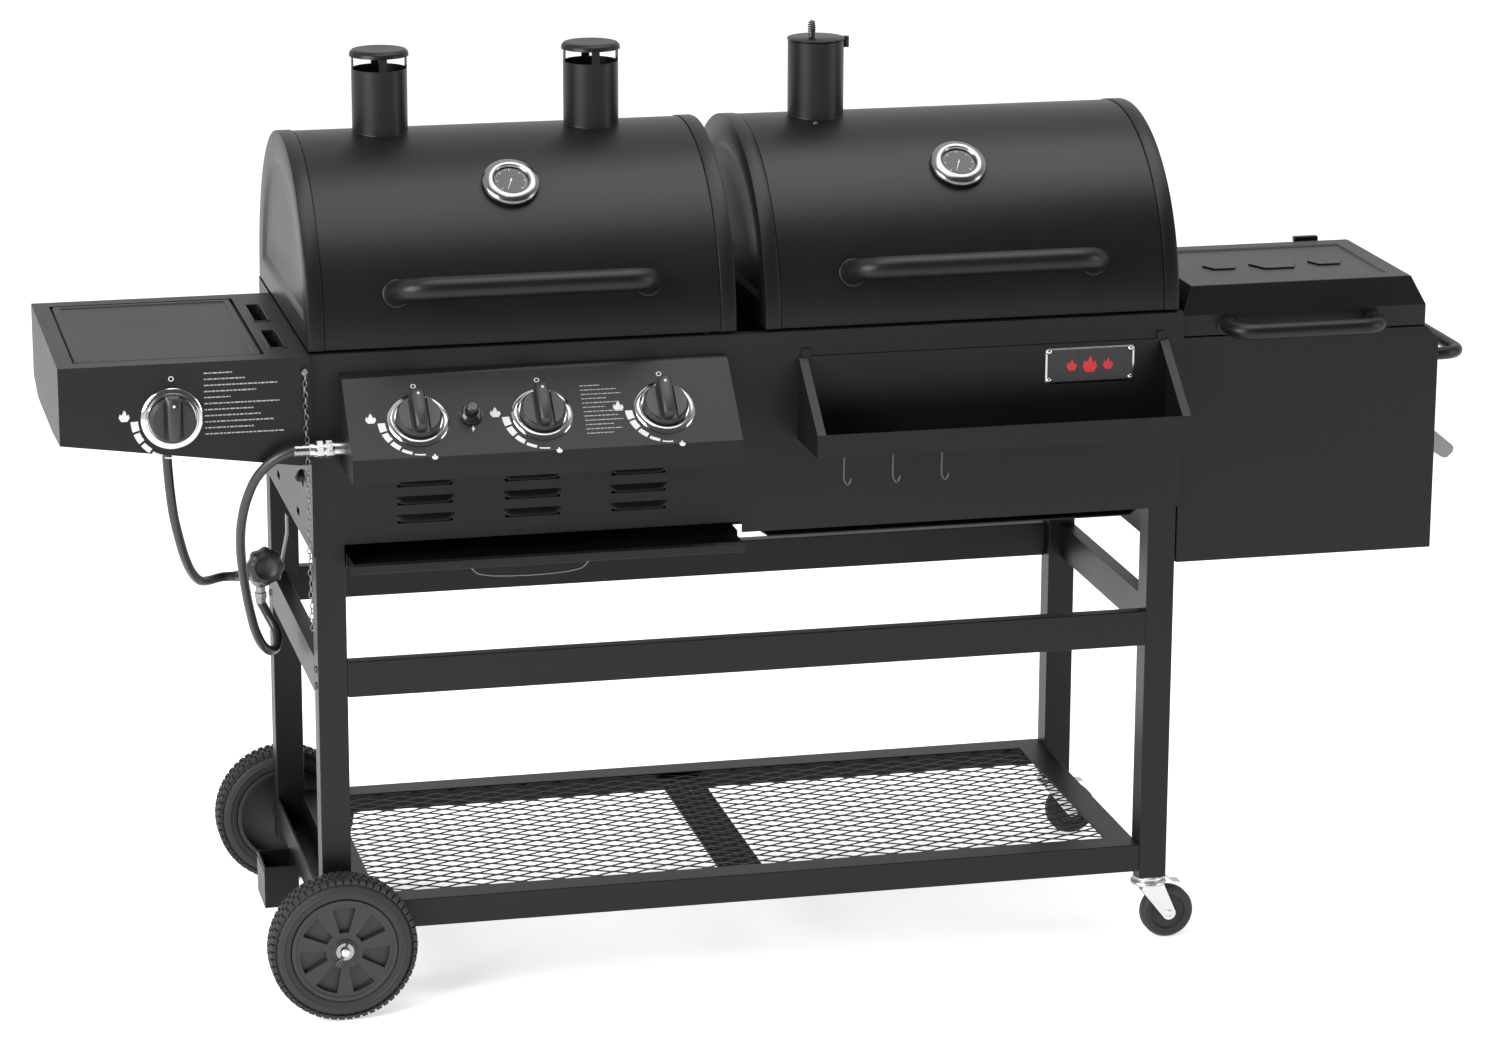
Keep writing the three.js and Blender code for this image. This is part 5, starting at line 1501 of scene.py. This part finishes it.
class GRILL_OT_gas_fittings(bpy.types.Operator):
    """Builds the regulator, the hose ends and the lighting chain"""

    bl_idname = "grill.gas_fittings"
    bl_label = "Gas fittings"
    bl_label = "Gas fittings"
    nut = [
        (0.0078, -0.001), (0.0078, 0.006), (0.0092, 0.007), (0.0092, 0.014), (0.0075, 0.015),
        (0.0075, 0.03),
    ]
    housing = [
        (0, 0), (0.012, 0), (0.0162, 0.003), (0.0168, 0.008), (0.0168, 0.012), (0.0145, 0.0135),
        (0.0145, 0.016), (0.0162, 0.0175), (0.016, 0.023), (0.012, 0.027), (0.010, 0.030), (0, 0.030),
    ]
    wheel_profile = (
        (0.010, 0.0), (0.0235, 0.001), (0.0250, 0.004), (0.0250, 0.018), (0.0228, 0.022),
        (0.016, 0.0235), (0.0125, 0.019), (0, 0.018),
    )
    lobes, lobe_rise = 8, 0.06
    ferrule = [
        (0.0068, 0), (0.0079, 0.001), (0.0079, 0.006), (0.0075, 0.0075), (0.0079, 0.009), (0.0079, 0.014),
        (0.0075, 0.0155), (0.0079, 0.017), (0.0079, 0.0215), (0.0062, 0.023), (0.0062, 0.026),
    ]
    swivel_nut = [
        (0, 0), (0.0090, 0.0004), (0.0096, 0.0014), (0.0096, 0.014), (0.0088, 0.0155), (0, 0.0155),
    ]
    inlet = [
        (0, 0), (0.0080, 0), (0.0080, 0.004), (0.0105, 0.0045), (0.0105, 0.0115), (0.0082, 0.012),
        (0.0082, 0.021), (0, 0.021),
    ]
    clamp_band = [(0.0068, 0), (0.0078, 0.001), (0.0078, 0.016), (0.0068, 0.018)]
    link_length, link_width, link_wire = 0.0082, 0.0026, 0.0008

    def execute(self, context):
        end, side = at(*GAS_HOSE_ROUTE[-1]), at(*SIDE_HOSE_ROUTE[-1])
        centre = Vector((end.x, end.y, side.z))
        self.regulator(centre, end, side)
        self.hand_wheel(centre + Vector((0.004, -0.018, 0.020)))
        self.strap(centre)
        self.hose_ends()
        self.chain()
        return {"FINISHED"}

    def regulator(self, centre, end, side):
        shape = Shape()
        shape.lathe(centre + Y * 0.013, -Y, self.housing, 40)
        shape.lathe(end, Z, self.nut, 6)
        shape.lathe(side, X, self.nut, 6)
        shape.piece("regulator_body", "dull", "cart", ("regulator",), crease=35)

    def hand_wheel(self, hub, sides=64):
        """A wheel with a lobed edge."""
        rings = []
        for reach, height in self.wheel_profile:
            ring = []
            for i in range(sides if reach else 1):
                turn = math.tau * i / sides
                rise = self.lobe_rise * math.cos(turn * self.lobes) if reach > 0.02 else 0
                spoke = X * math.cos(turn) + Z * math.sin(turn)
                ring.append(hub - Y * height + spoke * reach * (1 + rise))
            rings.append(ring)
        shape = Shape()
        shape.loops(rings, caps=(True, False))
        shape.piece("regulator_hand_wheel", "plastic", "cart", crease=50)

    def strap(self, centre):
        """The bent strip that holds the regulator to the cabinet's side."""
        wall, half, width = BOX["cabinet_left_side"].low.x, 0.0014, 0.014
        line = [
            (wall - half, centre.z + 0.085), (wall - half, centre.z + 0.058),
            (wall - 0.010, centre.z + 0.016), (wall - 0.030, centre.z + 0.002),
        ]
        shape = Shape()
        for (u, v), (p, q) in zip(line, line[1:]):
            along = Vector((p - u, q - v)).normalized()
            x, z = -along.y * half, along.x * half
            outline = [(u - x, v - z), (p - x, q - z), (p + x, q + z), (u + x, v + z)]
            shape.prism(outline, Y * (centre.y + 0.006), X, Z, width)
        shape.piece("regulator_strap", "dull", "cart", bevel=0.0004)

    def hose_ends(self):
        start = at(*GAS_HOSE_ROUTE[0])
        fitting = Shape()
        fitting.lathe(start - X * 0.020, X, self.ferrule, 32)
        fitting.lathe(start + X * 0.0052, X, self.swivel_nut, 6)
        fitting.lathe(start + X * 0.0215, X, self.inlet, 32)
        fitting.piece("gas_hose_fitting", "satin", "cart", crease=30)
        top = at(*SIDE_HOSE_ROUTE[0])
        band = Shape()
        band.lathe(top - Z * 0.018, Z, self.clamp_band, 24)
        band.piece("side_burner_hose_clamp", "zinc", "cart", crease=40)

    def chain(self):
        """A chain of crossed links for the lighting rod, hung at the cabinet's corner."""
        top, low = at(-11.5, -17, 898), at(-8.5, -17, 548)
        links = round((top - low).length / (self.link_length - self.link_wire))
        shape = Shape()
        for i in range(links):
            centre = top.lerp(low, i / (links - 1)) + X * (0.0008 * math.sin(i * 1.7))
            across = (Y + X * 0.35 if i % 2 else X - Y * 0.35).normalized()
            tall = (self.link_length / 2 + 0.0004) / self.link_width
            loop = [centre + across * u + Z * v * tall for u, v in circle(self.link_width, 16)]
            shape.tube([*loop, loop[0]], self.link_wire, 6, caps=False)
        shape.lathe(top + Y * 0.002, -Y, [(0, 0), (0.004, 0), (0.004, 0.002), (0, 0.003)], 16)
        shape.piece("lighting_chain", "dull", "cart", crease=60)


# ---------------------------------------------------------------- cabinet details


class GRILL_OT_cabinet_details(bpy.types.Operator):
    """Adds louvre hoods, pressed vents, screws and the drip tray's wire"""

    bl_idname = "grill.cabinet_details"
    bl_label = "Cabinet details"
    hood_width, hood_drop, hood_rise = 0.079, 0.0098, 0.0044
    scoop_radius, scoop_rise = 0.0145, 0.010
    proud = 0.0002
    # Frame screws: place from the cart's corner in millimetres, and the way that each faces.
    frame_screws = (
        *((0, y, z, -X) for y in (19, 486) for z in (455, 478)),
        *((1206, y, z, X) for y in (19, 486) for z in (455, 478)),
        *((1166, 474, z, -X) for z in (500, 570, 640)),
        (20, 409, 112, Z), (20, 450, 112, Z),
    )

    def execute(self, context):
        self.louvres()
        self.vents()
        self.fasteners()
        self.drip_wire()
        return {"FINISHED"}

    def louvres(self):
        """Pressed hoods over the slots in the cabinet's front."""
        shape = Shape()
        for x in (109, 255, 401):
            for z in (743, 718, 693):
                start = at(x, 0, z)
                start.y = BOX["cabinet_front"].low.y - self.proud
                shape.loops(self.hood(start), closed=False)
        shape.piece("louvre_hoods", "coat", "cart", crease=60)

    def hood(self, start, columns=20, steps=6):
        """Rows of points down one hood, which swells from its top and fades at its ends."""
        rings = []
        for share in (k / steps for k in range(steps + 1)):
            lift = self.hood_rise * math.sin(share * math.pi / 2)
            ring = []
            for along in (i / columns for i in range(columns + 1)):
                end = min(1.0, min(along, 1 - along) * columns / 3)
                drop = share * self.hood_drop * (0.55 + 0.45 * min(1.0, end + 0.2))
                rise = lift * math.sin(end * math.pi / 2)
                ring.append(start + Vector((along * self.hood_width, -rise, -drop)))
            rings.append(ring)
        return rings

    def vents(self):
        """Round pressed scoops in the cabinet's left side."""
        wall = BOX["cabinet_left_side"].low.x - self.proud
        shape = Shape()
        for y, z in ((90, 725), (170, 760), (250, 725), (330, 760), (410, 725)):
            centre = at(0, y, z)
            rings = []
            for turn in (math.pi / 10 * k for k in range(5)):
                half = arc((centre.y, centre.z), self.scoop_radius * math.cos(turn), 0, 180, 16)
                rings.append([Vector((wall - self.scoop_rise * math.sin(turn), u, v)) for u, v in half])
            shape.loops(rings, closed=False)
        shape.piece("side_vent_hoods", "coat", "cart", crease=60)

    def fasteners(self):
        places = []
        for x in (60, 300, 540, 680, 900, 1140):
            for z in (900, 658):
                place = at(x, 0, z)
                place.y = BOX["cabinet_back"].high.y
                places.append((place, Y))
        places += [(at(x, y, z), facing) for x, y, z, facing in self.frame_screws]
        screws("frame_screws", "dark_wire", "cart", places, 0.0052)

    def drip_wire(self):
        """The bent wire that holds the grease cup under the tray."""
        tray = BOX["grease_tray"]
        left, right = at(204, 0, 0).x, at(368, 0, 0).x
        route = [
            (left, 0.0006), (left + 0.003, -0.006), (left + 0.014, -0.0145), (right - 0.014, -0.0145),
            (right - 0.003, -0.006), (right, 0.0006),
        ]
        shape = Shape()
        line = curved([(x, tray.low.y + 0.020, tray.low.z + z) for x, z in route], 6)
        shape.tube(line, 0.0010, 8)
        shape.piece("drip_cup_wire", "dull", BODY_OF["grease_tray"], crease=50)


# ---------------------------------------------------------------- panel and main


BUILDERS = (
    GRILL_OT_stage, GRILL_OT_hoses, GRILL_OT_sheet_metal, GRILL_OT_barrel_lids, GRILL_OT_lid_handles,
    GRILL_OT_chimneys, GRILL_OT_thermometers, GRILL_OT_knobs, GRILL_OT_igniter, GRILL_OT_side_burner_cover,
    GRILL_OT_tray_badge, GRILL_OT_firebox, GRILL_OT_shelf_mesh, GRILL_OT_wheels, GRILL_OT_casters,
    GRILL_OT_gas_fittings, GRILL_OT_cabinet_details,
)


class GRILL_PT_panel(bpy.types.Panel):
    """Lists the grill's sizes and builders"""

    bl_label = "Combination Grill"
    bl_idname = "GRILL_PT_panel"
    bl_space_type = "VIEW_3D"
    bl_region_type = "UI"
    bl_category = "Grill"

    def draw(self, context):
        for group in (context.scene.grill_sizes, context.scene.grill_stage):
            for name in group.bl_rna.properties.keys():
                if name not in ("rna_type", "name"):
                    self.layout.prop(group, name)
        for builder in BUILDERS:
            self.layout.operator(builder.bl_idname)


CLASSES = (GrillSizes, StageSizes, *BUILDERS, GRILL_PT_panel)


def register():
    for item in CLASSES:
        bpy.utils.register_class(item)
    bpy.types.Scene.grill_sizes = PointerProperty(type=GrillSizes)
    bpy.types.Scene.grill_stage = PointerProperty(type=StageSizes)


def unregister():
    del bpy.types.Scene.grill_sizes
    del bpy.types.Scene.grill_stage
    for item in reversed(CLASSES):
        bpy.utils.unregister_class(item)


def main():
    register()
    make_finishes(bpy.context.scene.grill_sizes)
    for builder in BUILDERS:
        group, name = builder.bl_idname.split(".")
        getattr(getattr(bpy.ops, group), name)()


if __name__ == "__main__":
    main()
